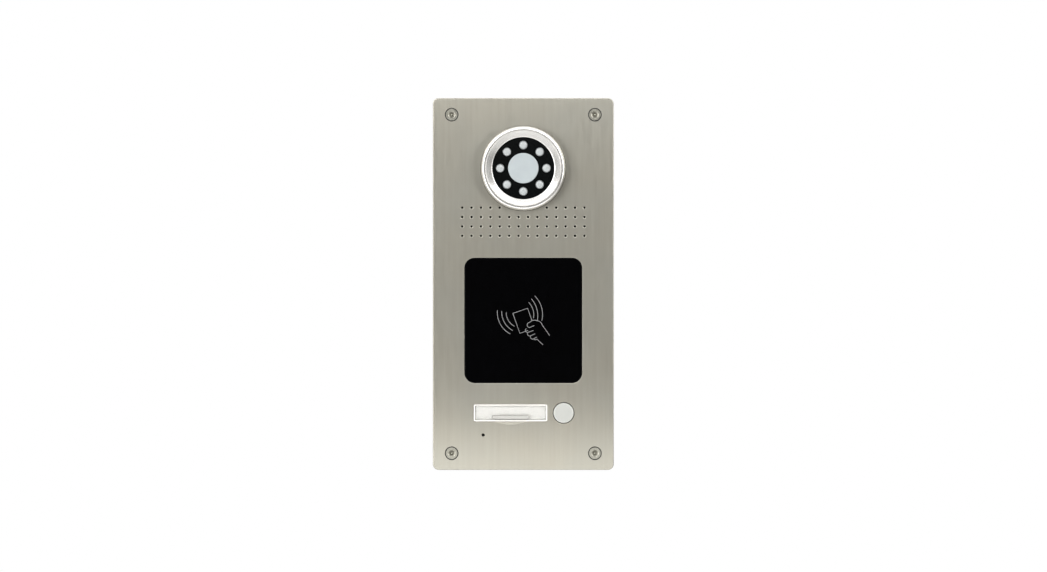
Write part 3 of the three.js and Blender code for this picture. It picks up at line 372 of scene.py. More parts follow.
def dress(finish, pattern, gloss, tints=None, relief=None, ends=MIDDLE, tint_ends=None, height=None):
    """Lets a pattern set a finish's gloss, colour and relief. The pattern's ends become the gloss's two
    roughnesses; tint_ends, if given, become the two colours. Relief is (millimetres, strength)."""
    tree = finish.tree
    wire(finish, Roughness=add(tree, "MapRange", {
        "Value": pattern, "From Min": ends[0], "From Max": ends[1], "To Min": gloss[0], "To Max": gloss[1]}))
    if tints:
        share = pattern
        if tint_ends:
            share = add(tree, "MapRange", {
                "Value": pattern, "From Min": tint_ends[0], "From Max": tint_ends[1]})
        wire(finish, Base_Color=add(tree, "Mix", {
            0: share, 6: linear(tints[0]), 7: linear(tints[1])}, data_type="RGBA").outputs[2])
    if relief:
        wire(finish, Normal=add(tree, "Bump", {
            "Height": height or pattern, "Distance": relief[0] * MM, "Strength": relief[1]}))
    return finish.material


def grained(title, code, roughness, grain, gloss, tints=None, relief=None, detail=2, fray=0.6,
            contrast=False, **sockets):
    """A finish that follows one noise. The grain is in millimetres, one for all axes or one for each."""
    finish = surface(title, code, roughness, **sockets)
    vector, scale = finish.where, 1
    if isinstance(grain, tuple):
        vector = add(finish.tree, "Mapping", {"Vector": vector, "Scale": [per_mm(size) for size in grain]})
    else:
        scale = per_mm(grain)
    pattern = add(finish.tree, "TexNoise", {
        "Vector": vector, "Scale": scale, "Detail": detail, "Roughness": fray})
    return dress(finish, pattern, gloss, tints, relief, tint_ends=MIDDLE if contrast else None)


# ---------------------------------------------------------------- metals


def brushed_stainless():
    """Stainless sheet, linished up and down with an abrasive belt: fine upright scratches that blur
    reflections sideways. The grit's 0.05 mm scratches are drawn 0.3 mm wide so that they show."""
    finish = surface("brushed_stainless_steel", "#a5a195", 0.4, Metallic=1.0, Anisotropic=0.8)
    tree, where = finish.tree, finish.where
    scratches, bands = (
        add(tree, "TexNoise", {
            "Vector": add(tree, "Mapping", {"Vector": where, "Scale": [per_mm(size) for size in sizes]}),
            "Scale": 1, "Detail": detail, "Roughness": fray})
        for sizes, detail, fray in (((0.3, 3, 14), 3, 0.65), ((2.6, 20, 120), 2, 0.5)))
    haze = add(tree, "TexNoise", {"Vector": where, "Scale": per_mm(45), "Detail": 2, "Roughness": 0.5})
    grain = add(tree, "Math", {0: scratches, 1: bands}, operation="ADD")
    share = add(tree, "MapRange", {"Value": grain, "From Min": 0.7, "From Max": 1.3})
    colour = add(tree, "Mix", {0: share, 6: linear("#a39f93"), 7: linear("#a9a599")}, data_type="RGBA")
    cloud = add(tree, "MapRange", {"Value": haze, "From Min": 0.3, "From Max": 0.7, "To Max": 0.35})
    cloudy = add(tree, "Mix", {0: cloud, 6: colour.outputs[2], 7: linear("#a2a39c")}, data_type="RGBA")
    wire(finish, Base_Color=cloudy.outputs[2], Tangent=add(tree, "CombineXYZ", {"X": 1.0}))
    return dress(finish, scratches, (0.36, 0.44), None, (0.004, 0.25), height=grain)


def turned_aluminium():
    """Aluminium faced on a lathe and clear anodised: fine rings round the camera's axis and a soft,
    cool sheen. The 0.1 mm tool pitch is drawn at 0.35 mm."""
    finish = surface("turned_anodised_aluminium", "#e0deda", 0.27, Metallic=1.0, Coat_Weight=0.15,
                     Coat_Roughness=0.25)
    tree, where = finish.tree, finish.where
    to_axis = add(tree, "Mapping", {"Vector": where, "Location": (-bezel.x * MM, 0, -bezel.z * MM)})
    split = add(tree, "SeparateXYZ", {"Vector": to_axis})
    flat = add(tree, "CombineXYZ", {"X": split.outputs["X"], "Y": split.outputs["Z"]})
    radius = add(tree, "VectorMath", {0: flat}, operation="LENGTH").outputs["Value"]
    rings = add(tree, "TexNoise", {
        "Vector": add(tree, "CombineXYZ", {"X": radius, "Y": split.outputs["Y"]}),
        "Scale": per_mm(0.35), "Detail": 2, "Roughness": 0.6})
    satin = add(tree, "TexNoise", {"Vector": where, "Scale": per_mm(0.5), "Detail": 2, "Roughness": 0.6})
    wire(finish, Coat_Weight=add(tree, "MapRange", {
        "Value": satin, "From Min": 0.3, "From Max": 0.7, "To Min": 0.08, "To Max": 0.22}))
    return dress(finish, rings, (0.22, 0.33), ("#d8d6d3", "#e8e6e2"), (0.004, 0.35))


def galvanised_sheet():
    """Hot-dip galvanised sheet: flat zinc crystals of 6 to 10 mm, each with its own grey and gloss."""
    finish = surface("galvanised_steel_sheet", "#8f9496", 0.5, Metallic=0.85)
    tree, where = finish.tree, finish.where
    warp = add(tree, "TexNoise", {"Vector": where, "Scale": per_mm(5), "Detail": 3, "Roughness": 0.6})
    sized = add(tree, "Mapping", {"Vector": where, "Scale": [per_mm(8)] * 3})
    bent = add(tree, "VectorMath", {0: sized, 1: warp}, operation="ADD")
    spangle = add(tree, "TexVoronoi", {"Vector": bent, "Scale": 1.0}, feature="F1")
    tone = add(tree, "SeparateColor", {"Color": spangle.outputs["Color"]})
    frost = add(tree, "TexNoise", {"Vector": where, "Scale": per_mm(0.9), "Detail": 3, "Roughness": 0.6})
    speck = add(tree, "MapRange", {
        "Value": frost, "From Min": 0.3, "From Max": 0.7, "To Min": -0.15, "To Max": 0.15})
    mixed = add(tree, "Math", {0: tone, 1: speck}, operation="ADD")
    return dress(finish, mixed, (0.46, 0.6), ("#868c8f", "#a3a7a9"), (0.012, 0.3), (0, 1), height=frost)


# ---------------------------------------------------------------- boards, foam and cloth


def crossed_threads(tree, vector, scale, operation, **sockets):
    """Two sets of waves at a right angle, as warp and weft."""
    warp, weft = (add(tree, "TexWave", {"Vector": vector, "Scale": scale, **sockets},
                      bands_direction=way).outputs["Fac"] for way in ("X", "Z"))
    return add(tree, "Math", {0: warp, 1: weft}, operation=operation)


def circuit_laminate():
    """Glass-epoxy board under green solder mask: the weave of 0.5 mm yarns shows faintly."""
    finish = surface("green_solder_mask", "#1f5a36", 0.32, Coat_Weight=0.3, Coat_Roughness=0.15)
    sized = add(finish.tree, "Mapping", {"Vector": finish.where, "Scale": [per_mm(1)] * 3})
    cloth = crossed_threads(finish.tree, sized, 1.0, "MULTIPLY", Distortion=0.4)
    return dress(finish, cloth, (0.28, 0.38), ("#184a2c", "#27693f"), (0.01, 0.3), (0, 1))


def cell_foam():
    """Closed-cell rubber foam: matt black with a skin of small open cells, about 0.4 mm."""
    finish = surface("closed_cell_foam", "#262626", 0.9, Specular_IOR_Level=0.2)
    cells = add(finish.tree, "TexVoronoi", {"Vector": finish.where, "Scale": per_mm(0.4)}, feature="F1")
    return dress(finish, cells.outputs["Distance"], (0.82, 0.96), ("#141414", "#333333"), (0.08, 0.6), (0, 1),
                 (0, 0.8))


def woven_mesh():
    """Woven nylon dust cloth: black threads at 0.5 mm with dark gaps."""
    finish = surface("woven_nylon_mesh", "#161616", 0.85, Specular_IOR_Level=0.2)
    threads = crossed_threads(finish.tree, finish.where, per_mm(3.2), "MAXIMUM")
    return dress(finish, threads, (0.75, 0.95), ("#060606", "#202020"), (0.06, 0.6), (0, 1))


finishes = {
    "stainless": brushed_stainless(),
    "turned_aluminium": turned_aluminium(),
    # Stainless screws, cold headed and tumbled: a smooth grey metal with faint scuffs.
    "screw_steel": grained("tumbled_screw_steel", "#9f9d92", 0.34, 0.7, (0.28, 0.44), ("#918f84", "#adaba0"),
                           (0.01, 0.3), 3, Metallic=1.0),
    # A die-cast button, bead blasted and satin plated: an even, pale and nearly matt metal.
    # The blasted pits of 0.05 mm are drawn at 0.3 mm.
    "button_metal": grained("satin_plated_zinc", "#bfc0bb", 0.42, 0.3, (0.38, 0.48), ("#babbb6", "#c5c6c1"),
                            (0.006, 0.3), Metallic=0.75),
    # Hard-drawn spring wire: dark bright steel with draw marks.
    "spring_steel": grained("drawn_spring_steel", "#9b9ea2", 0.3, (0.2, 1.5, 0.2), (0.22, 0.4),
                            ("#85888c", "#aeb1b4"), Metallic=1.0),
    "galvanised": galvanised_sheet(),
    # Etched copper foil: warm, with slight tarnish.
    "copper": grained("etched_copper_foil", "#b87346", 0.35, 5, (0.28, 0.5), ("#9a5c38", "#c98456"),
                      detail=3, contrast=True, Metallic=1.0),
    # Polycarbonate disc, spray painted satin black: even, with the paint's faint orange peel.
    "black_mask": grained("satin_black_paint", "#030404", 0.3, 0.6, (0.26, 0.34), ("#030404", "#060707"),
                          (0.006, 0.3), fray=0.5, Specular_IOR_Level=0.1),
    # Cast acrylic, black and polished: a mirror gloss with a trace of fine wipe marks.
    "black_gloss": grained("polished_black_acrylic", "#020203", 0.06, (3, 3, 9), (0.05, 0.1),
                           ("#020202", "#040405"), None, 4, 0.65, IOR=1.49, Specular_IOR_Level=0.12),
    # Half-mirrored glass over the lens: pale, smooth and faintly blue-green.
    "window_glass": grained("half_mirror_glass", "#b1b8ba", 0.12, 6, (0.1, 0.16), ("#adb4b6", "#b7bec0"),
                            fray=0.5, Metallic=0.25, Coat_Weight=0.6, Coat_Roughness=0.04),
    # Cast epoxy with a diffusing filler: milky grey, with a glossy skin and soft light inside.
    "led_lens": grained("diffused_led_epoxy", "#a4a7a7", 0.3, 1.1, (0.18, 0.28), ("#979b9b", "#a3a6a6"),
                        fray=0.5, Specular_IOR_Level=0.3, Subsurface_Weight=0.15,
                        Subsurface_Radius=(0.0012, 0.0012, 0.0012)),
    # Injection-moulded ABS, white and satin, with a fine spark-eroded texture.
    "white_plastic": grained("moulded_white_abs", "#d3d0cb", 0.42, 0.35, (0.36, 0.48), ("#cfccc6", "#d8d5d0"),
                             (0.006, 0.35)),
    # Moulded clear polycarbonate: thin, flat, colourless and glossy, with slight flow marks in its gloss.
    "clear_plastic": grained("clear_polycarbonate", "#fbfbfa", 0.04, (9, 9, 3), (0.02, 0.05), fray=0.5,
                             IOR=1.45, Transmission_Weight=1.0),
    # Uncoated white card: matt, with soft fibres. Fibres of 0.05 mm are drawn at 0.4 mm.
    "paper": grained("uncoated_card", "#f7f5f1", 0.85, (0.9, 0.4, 0.4), (0.8, 0.92), ("#f2f0eb", "#fbfaf7"),
                     (0.004, 0.2), 3, 0.65, Specular_IOR_Level=0.25),
    # Injection mouldings in one colour, with the tool's grain.
    "black_plastic": grained("moulded_black_abs", "#232427", 0.48, 0.5, (0.42, 0.58), ("#18191b", "#232427"),
                             (0.02, 0.4), 3),
    "green_terminal": grained("moulded_green_polyamide", "#35874f", 0.42, 0.6, (0.36, 0.52),
                              ("#27703f", "#35874f"), (0.02, 0.4), 3),
    "circuit_board": circuit_laminate(),
    # Sintered ferrite: dark grey, fine grained and slightly sparkling.
    "ferrite": grained("sintered_ferrite", "#3a3b3e", 0.55, 0.5, (0.45, 0.7), ("#2c2d30", "#4b4c4f"),
                       (0.02, 0.4), 3, 0.7, contrast=True, Metallic=0.35),
    "foam": cell_foam(),
    # Compression-moulded rubber: dull black with a dusty bloom.
    "rubber": grained("moulded_rubber", "#1b1b1c", 0.72, 2.2, (0.62, 0.82), ("#151516", "#2b2b2c"),
                      (0.02, 0.3), 4, contrast=True, Specular_IOR_Level=0.3),
    # Pressed paper pulp, dyed black: matt with tangled fibres, drawn 0.6 mm wide.
    "cone_paper": grained("pressed_paper_pulp", "#2b2a29", 0.85, 0.6, (0.78, 0.92), ("#1e1d1c", "#3a3938"),
                          (0.04, 0.5), 4, 0.7, contrast=True, Specular_IOR_Level=0.25),
    "mesh_cloth": woven_mesh(),
}
# The spark-eroded floor of the finger groove: the cover's plastic, frosted, and painted an opaque soft grey
# as the shade that falls in the groove.
FROSTED_GROOVE_SHADE = grained("frosted_polycarbonate_with_painted_shade", "#a5a49f", 0.55, 0.35, (0.42, 0.6), ("#9f9e99", "#acaba6"),
                  (0.02, 0.5))
# The screws' sockets as punched: the same steel, painted darker as the shade that falls in the recess.
SOCKET_SHADE_STEEL = grained("socket_steel_with_painted_shade", "#75736a", 0.42, 0.6, (0.34, 0.54), ("#5c5a52", "#87857b"),
                       (0.01, 0.3), 3, Metallic=1.0)
# Screen-printed grey ink: flat and matt, a little uneven at its thin lines.
INK = grained("screen_print_ink", "#6b6b6b", 0.6, 0.25, (0.5, 0.7), ("#606061", "#747474"))


def make(title, bm, slot, *nodes, body=PANEL, sharp=SHARP):
    """A piece in the finish of its slot."""
    return piece(title, bm, finishes[slot], slot, *nodes, body=body, sharp=sharp)


# ---------------------------------------------------------------- front plate

FACE = plate.front
PLATE_THICK = 3.0
PLATE_BACK = FACE + PLATE_THICK
PLATE_CORNER = 4.0
PLATE_EDGE = 0.5
CUT_GAP = 0.2
BURR = 0.22
GRILLE_EASE = 0.35

GRILLE = SimpleNamespace(columns=14, rows=4, pitch=6.5, radius=1.2, above_bezel_foot=2.05, bezel_margin=1.2)
READER_FLANGE = 3.0
READER = SimpleNamespace(width=reader.width - 2 * READER_FLANGE, height=reader.height - 2 * READER_FLANGE,
                         corner=7.0)
NAME_LIP = 1.0
NAME = SimpleNamespace(width=name.width - 2 * NAME_LIP, height=name.height - 2 * NAME_LIP, corner=1.4)
RELIEF = SimpleNamespace(width=21.0, rise=1.9, depth=0.55, columns=24, rows=6)
BUTTON_FLANGE = 1.0
BUTTON_R = button.width / 2 - BUTTON_FLANGE
BUTTON_GAP = 0.55
SPIGOT_R = 24.8
MIC_HOLE_R = 1.1
HEAD_R = screws[0].width / 2
HEAD_DEPTH = 2.05
HEAD_LAND = 0.8
HEAD_GAP = 0.6
SHANK_R = 2.4
BUSH = SimpleNamespace(radius=3.0, bore=1.3, inset_x=6.0, inset_z=6.0)


def grille_places():
    """Hole centres, without those that the bezel would cover."""
    first_row = bezel.foot + GRILLE.above_bezel_foot
    places = []
    for row in range(GRILLE.rows):
        for column in range(GRILLE.columns):
            x = (column - (GRILLE.columns - 1) / 2) * GRILLE.pitch
            z = first_row - row * GRILLE.pitch
            clear = bezel.width / 2 + GRILLE.radius + GRILLE.bezel_margin
            if math.hypot(x - bezel.x, z - bezel.z) > clear:
                places.append((x, z))
    return places


def drilled(bm, outline, ease=BURR):
    """A hole through the plate; returns its front and back loops."""
    return wall(bm, outline, eased(FACE, ease, PLATE_BACK, -1, 2))


def name_hole(bm):
    """The name window's hole, whose lower edge opens into a shallow ball-shaped thumb relief."""
    width, height = NAME.width + 2 * CUT_GAP, NAME.height + 2 * CUT_GAP
    lower = name.z - height / 2
    disc_r = (RELIEF.width ** 2 / 4 + RELIEF.rise ** 2) / (2 * RELIEF.rise)
    to_centre = disc_r - RELIEF.rise
    ball_y = ((disc_r ** 2 - to_centre ** 2) / RELIEF.depth - RELIEF.depth) / 2
    ball_r = math.hypot(disc_r, ball_y)
    xs = [RELIEF.width * (step / RELIEF.columns - 0.5) for step in range(RELIEF.columns + 1)]
    stations = eased(FACE, BURR, PLATE_BACK, -1, RELIEF.rows)
    rings = []
    for index, (offset, y) in enumerate(stations):
        points = rounded(width + 2 * offset, height + 2 * offset, NAME.corner + CUT_GAP + offset,
                         name.x, name.z)
        depths = [y] * len(points)
        share = min(1.0, index / RELIEF.rows)
        dips = []
        for x in xs:
            drop = max(BURR, math.sqrt(disc_r ** 2 - x ** 2) - to_centre)
            below = drop * (1 - share)
            ball = math.sqrt(ball_r ** 2 - x ** 2 - (to_centre + below) ** 2) - ball_y
            dips.append((name.x + x, lower - below, max(y, FACE + ball)))
        third = 3 * len(points) // 4
        points[third:third] = [(x, z) for x, z, depth in dips]
        depths[third:third] = [depth for x, z, depth in dips]
        rings.append([(x, depth, z) for (x, z), depth in zip(points, depths)])
    return skin(bm, rings)


def countersink(bm, screw):
    """A countersunk screw hole."""
    mouth, through = HEAD_R + 0.1, SHANK_R + 0.3
    foot = FACE + HEAD_DEPTH + 0.1
    outline = round_outline(through, screw.x, screw.z, 48)
    stations = [(mouth - through + 0.06, FACE), (mouth - through, FACE + 0.06),
                (mouth - through, FACE + HEAD_LAND),
                (0, foot), (0, PLATE_BACK)]
    return wall(bm, outline, stations)


def front_plate():
    bm = bmesh.new()
    outline = box_outline(2 * plate.right, plate.height, PLATE_CORNER, steps=12)
    outer = wall(bm, outline, eased_both(FACE, PLATE_BACK, PLATE_EDGE, 4))
    holes = [drilled(bm, round_outline(GRILLE.radius - GRILLE_EASE, x, z, 20), GRILLE_EASE)
             for x, z in grille_places()]
    holes.append(drilled(bm, box_outline(READER.width + 2 * CUT_GAP, READER.height + 2 * CUT_GAP,
                                         READER.corner + CUT_GAP, reader.x, reader.z, 14)))
    holes.append(name_hole(bm))
    holes.append(drilled(bm, round_outline(BUTTON_R + BUTTON_GAP, button.x, button.z, 72)))
    holes.append(drilled(bm, round_outline(SPIGOT_R + 0.2, bezel.x, bezel.z, 96)))
    holes.append(drilled(bm, round_outline(MIC_HOLE_R, mic.x, mic.z, 24)))
    holes += [countersink(bm, screw) for screw in screws]
    # Four blind bushes for the case's screws stand on the plate's back.
    stations = [(BUSH.radius, PLATE_BACK), (BUSH.radius, plate.back - 0.3), (BUSH.radius - 0.3, plate.back),
                (BUSH.bore + 0.3, plate.back), (BUSH.bore, plate.back - 0.3), (BUSH.bore, PLATE_BACK)]
    feet = []
    for side in (-1, 1):
        for end in (-1, 1):
            x = side * (case.right - BUSH.inset_x)
            z = end * (case.top - BUSH.inset_z)
            foot, floor = wall(bm, round_outline(0, x, z), stations)
            cap(bm, floor)
            feet.append(foot)
    cap(bm, outer[0], *(front for front, back in holes))
    cap(bm, outer[1], *(back for front, back in holes), *feet)
    make("steel_front_plate", bm, "stainless", "front_plate")


def panel_gasket():
    bm = bmesh.new()
    outer = wall(bm, box_outline(gasket.width, gasket.height, 3), eased_both(gasket.front, gasket.back, 0.2))
    inner = wall(bm, box_outline(gasket.width - 14, gasket.height - 12, 3),
                 [(-offset, y) for offset, y in eased_both(gasket.front, gasket.back, 0.2)])
    cap(bm, outer[0], inner[0])
    cap(bm, outer[1], inner[1])
    make("foam_wall_gasket", bm, "foam", "panel_gasket")


SOCKET = SimpleNamespace(radius=2.2, depth=1.5, pin=0.6, pin_below=0.2)


def panel_screw(number, screw):
    """A countersunk head whose round socket has a domed pin standing in it."""
    bm = bmesh.new()
    top = screw.front
    floor = top + SOCKET.depth
    head_foot = top + HEAD_DEPTH
    pin_top = top + SOCKET.pin_below
    head_r = HEAD_R + 0.1 - HEAD_GAP
    profile = [(0, screw.back), (SHANK_R - 0.6, screw.back)]
    profile += thread(SHANK_R, head_foot + 3, screw.back - 0.6, 0.8, 0.4)[::-1]
    profile += [(SHANK_R - 0.4, head_foot + 2.6), (SHANK_R - 0.4, head_foot + 0.2), (SHANK_R, head_foot)]
    profile += [(head_r, top + HEAD_LAND - 0.1), (head_r, top + 0.12), (head_r - 0.12, top)]
    profile += [(SOCKET.radius + 0.3, top), (SOCKET.radius, top + 0.18), (SOCKET.radius - 0.05, floor - 0.75)]
    profile += [(SOCKET.pin + 0.25, floor - 0.1), (SOCKET.pin + 0.1, floor)]
    profile += [(SOCKET.pin, floor - 0.15)] + quarter(0, pin_top + 0.35, SOCKET.pin, 0.35, 0, 90, 5)
    turned(bm, profile, screw.x, screw.z, 48)
    # Faces inside the socket take the darker steel: painted shade in the recess.
    for face in bm.faces:
        spot = face.calc_center_median()
        radius = math.hypot(spot.x - screw.x, spot.z - screw.z)
        socket_shaded = SOCKET.pin + 0.05 < radius < SOCKET.radius
        face.material_index = int(socket_shaded and top + 0.1 < spot.y < head_foot)
    made = make(f"pin_socket_screw_{number}", bm, "screw_steel", f"panel_screw_{number}")
    made.data.materials.append(SOCKET_SHADE_STEEL)
    # A black rubber washer fills the gap round the head, just below the plate's face; its black paints the
    # shade that falls in that gap.
    bm = bmesh.new()
    ring = [(head_r + 0.01, top + 0.55), (head_r + 0.01, top + 0.22), (HEAD_R + 0.02, top + 0.18),
            (HEAD_R + 0.06, top + 0.25), (HEAD_R + 0.06, top + 0.55)]
    turned(bm, ring, screw.x, screw.z, 48)
    make(f"screw_gap_shade_washer_{number}", bm, "rubber")


# ---------------------------------------------------------------- camera

MASK_SEEN_R = 21.5
RIM = SimpleNamespace(width=2.3, wall=2.2, groove_r=26.2, groove=0.3, groove_depth=0.4, lip=0.4)
LED_R = 3.0


def camera_bezel():
    """A turned ring: rounded rim, fine groove, dished face and a threaded spigot."""
    bm = bmesh.new()
    outer, foot, crest = bezel.width / 2, FACE - 0.42, bezel.front
    shoulder = foot - RIM.wall
    seat = mask.front - 0.1
    bore = SPIGOT_R - 2
    profile = [(bore, bezel.back - 0.3), (bore + 0.3, bezel.back), (SPIGOT_R - 0.4, bezel.back)]
    profile += thread(SPIGOT_R, PLATE_BACK + 0.4, bezel.back - 0.3, 1.0, 0.35)[::-1]
    profile += [(SPIGOT_R - 0.2, PLATE_BACK), (SPIGOT_R - 0.2, foot),
                (outer - 0.25, foot), (outer, foot - 0.25)]
    profile += quarter(outer - RIM.width, shoulder, RIM.width, shoulder - crest, 0, 90, 14)
    profile += [(RIM.groove_r + RIM.groove + 0.08, crest), (RIM.groove_r + RIM.groove, crest + 0.06),
                (RIM.groove_r + 0.12, crest + RIM.groove_depth),
                (RIM.groove_r - 0.12, crest + RIM.groove_depth),
                (RIM.groove_r - RIM.groove, crest + 0.16), (RIM.groove_r - RIM.groove - 0.1, crest + 0.12)]
    profile += [(MASK_SEEN_R + RIM.lip + 0.2, seat - RIM.lip - 0.34),
                (MASK_SEEN_R + RIM.lip, seat - RIM.lip - 0.2)]
    profile += [(MASK_SEEN_R + 0.1, seat - RIM.lip), (MASK_SEEN_R, seat - RIM.lip + 0.1), (MASK_SEEN_R, seat)]
    profile += [(bore, seat)]
    turned(bm, profile, bezel.x, bezel.z, 144)
    make("turned_camera_bezel", bm, "turned_aluminium", "camera_bezel")


def contact_shadow_ring():
    """A thin black rubber ring between bezel and plate: a dark line round the bezel's foot that paints the
    contact shadow there.
    """
    bm = bmesh.new()
    inner, outer = bezel.width / 2 - 1.2, bezel.width / 2 + 0.3
    foot = FACE - 0.01
    profile = [(inner, foot), (outer, foot), (outer, foot - 0.25), (outer - 0.12, foot - 0.4),
               (inner, foot - 0.4)]
    turned(bm, profile, bezel.x, bezel.z, 144)
    make("rubber_contact_shadow_ring", bm, "rubber")


def camera_mask():
    bm = bmesh.new()
    rim = wall(bm, round_outline(mask.width / 2, mask.x, mask.z, 96), eased(mask.front, 0.1, mask.back, 1, 2))
    openings = [(window.width / 2 + 0.1, window.x, window.z, 72)]
    openings += [(LED_R + 0.1, lamp.x, lamp.z, 36) for lamp in lamps]
    holes = [wall(bm, round_outline(*opening), eased(mask.front, 0.12, mask.back, -1, 2))
             for opening in openings]
    cap(bm, rim[0], *(front for front, back in holes))
    cap(bm, rim[1], *(back for front, back in holes))
    make("black_camera_mask", bm, "black_mask", "camera_mask")


def camera_window():
    bm = bmesh.new()
    radius = window.width / 2
    profile = [(0, window.back), (radius - 0.1, window.back), (radius, window.back - 0.1)]
    profile += quarter(radius - 0.35, window.front + 0.35, 0.35, 0.35, 0, 90, 4) + [(0, window.front)]
    turned(bm, profile, window.x, window.z, 72)
    make("half_mirror_window", bm, "window_glass", "camera_window")


def night_led(number, lamp):
    """A flanged lens with a low dome and a moulding line round its foot."""
    bm = bmesh.new()
    dome = 1.3
    flange_back, flange_front = lamp.back, lamp.back - 1
    profile = [(0, flange_back), (lamp.width / 2 - 0.1, flange_back), (lamp.width / 2, flange_back - 0.1),
               (lamp.width / 2, flange_front + 0.1), (lamp.width / 2 - 0.1, flange_front),
               (LED_R, flange_front)]
    profile += quarter(0, lamp.front + dome, LED_R, dome, 0, 90, 8)
    turned(bm, profile, lamp.x, lamp.z, 36)
    make(f"night_light_lens_{number}", bm, "led_lens", f"night_led_{number}")


# ---------------------------------------------------------------- card reader window

ICON_LINE = 0.27


def bow(start, end, sag, steps=14):
    """Points on a circular arc from start to end that bulges by sag to the left of the way."""
    a, b = Vector(start), Vector(end)
    chord = b - a
    side = Vector((-chord.y, chord.x)).normalized()
    half = chord.length / 2
    radius = (half ** 2 + sag ** 2) / (2 * abs(sag))
    away = math.copysign(radius - abs(sag), -sag)
    centre = (a + b) / 2 + side * away
    swing = math.asin(half / radius)
    middle = math.atan2(-side.y * away, -side.x * away)
    points = []
    for step in range(steps + 1):
        angle = middle + math.copysign(swing, sag) * (1 - 2 * step / steps)
        points.append((centre.x + radius * math.cos(angle), centre.y + radius * math.sin(angle)))
    return points


def card_icon():
    """A hand that holds a card between two sets of waves, printed as thin grey lines."""
    tilt = math.radians(19.3)
    along = Vector((math.cos(tilt), math.sin(tilt)))
    up = Vector((-along.y, along.x))
    middle = Vector((0.3, -0.2))
    corners = [middle + along * 5.4 * a + up * 7.3 * b for a, b in ((-1, 1), (1, 1), (1, -0.25))]
    foot = [middle + along * 5.4 * a + up * 7.3 * b for a, b in ((0.1, -1), (-1, -1), (-1, 1))]
    strokes = [
        [tuple(point) for point in corners],
        [tuple(point) for point in foot],
        bow((-9.0, -9.3), (-17.9, 7.0), 2.8),
        bow((-7.4, -6.9), (-14.9, 6.4), 2.2),
        bow((-6.1, -4.0), (-11.8, 5.6), 1.6),
        bow((3.8, 12.5), (7.1, 1.6), 1.3),
        bow((5.6, 14.9), (9.7, -0.1), 1.8),
        bow((7.8, 17.0), (12.8, -0.1), 2.4),
        # The hand: its back and wrist, the thumb's tip on the card, and three bent fingers under it.
        bow((4.4, -1.4), (9.4, -0.2), 0.9) + bow((9.4, -0.2), (13.0, -3.0), 0.8) + [(18.2, -10.4)],
        bow((4.4, -1.4), (4.3, -4.9), -1.7) + [(7.6, -3.5)],
        bow((2.2, -5.6), (3.3, -8.2), -1.3) + [(7.0, -6.9)],
        bow((3.3, -8.2), (5.0, -10.6), -1.2) + [(8.2, -9.2)],
        bow((5.0, -10.6), (7.2, -12.7), -1.1) + [(9.4, -11.4)],
        bow((7.2, -12.7), (9.4, -12.9), -0.5) + [(13.6, -16.8)],
    ]
    curve = bpy.data.curves.new("card_icon", "CURVE")
    curve.dimensions = "3D"
    curve.bevel_depth = ICON_LINE
    curve.bevel_resolution = 1
    curve.use_fill_caps = True
    for points in strokes:
        line = curve.splines.new("POLY")
        line.points.add(len(points) - 1)
        for spot, (x, z) in zip(line.points, points):
            spot.co = (x, 0, z, 1)
    drawn = bpy.data.objects.new("card_icon", curve)
    mesh = bpy.data.meshes.new_from_object(drawn)
    bpy.data.objects.remove(drawn)
    # The print is 0.03 mm thick, half of it proud of the glass.
    mesh.transform(Matrix.Diagonal((1, 0.03 / (2 * ICON_LINE), 1, 1)))
    mesh.transform(Matrix.Translation((reader.x, reader.front - 0.01, reader.z)))
    mesh.transform(Matrix.Scale(MM, 4))
    mesh.materials.clear()
    fit("printed_card_icon", mesh, INK, "black_gloss")


def card_window():
    bm = bmesh.new()
    flange_front = PLATE_BACK + 0.05
    stations = eased(reader.front, 0.35, flange_front, 1, 4)
    stations += [(READER_FLANGE - 0.3, flange_front), (READER_FLANGE, flange_front + 0.3),
                 (READER_FLANGE, reader.back)]
    slab(bm, box_outline(READER.width, READER.height, READER.corner, reader.x, reader.z, 14), stations)
    make("black_reader_window", bm, "black_gloss", "card_window")
    card_icon()


# ---------------------------------------------------------------- name window

NAME_BORDER = 1.0
GROOVE = SimpleNamespace(width=26.0, height=2.7, depth=0.6, above_edge=0.45)
PIN_REACH = 0.725


def name_frame():
    bm = bmesh.new()
    lip_front = PLATE_BACK + 0.05
    stations = eased(name.front, 0.3, lip_front, 1, 3)
    stations += [(NAME_LIP, lip_front), (NAME_LIP, lip_front + 2), (0, lip_front + 2), (0, name.back)]
    outer = wall(bm, box_outline(NAME.width, NAME.height, NAME.corner, name.x, name.z, 8), stations)
    opening = box_outline(NAME.width - 2 * NAME_BORDER, NAME.height - 2 * NAME_BORDER, 0.3, name.x, name.z, 4)
    inner = wall(bm, opening, eased(name.front, 0.2, name.back, -1, 3))
    cap(bm, outer[0], inner[0])
    cap(bm, outer[1], inner[1])
    make("white_name_frame", bm, "white_plastic", "name_frame")


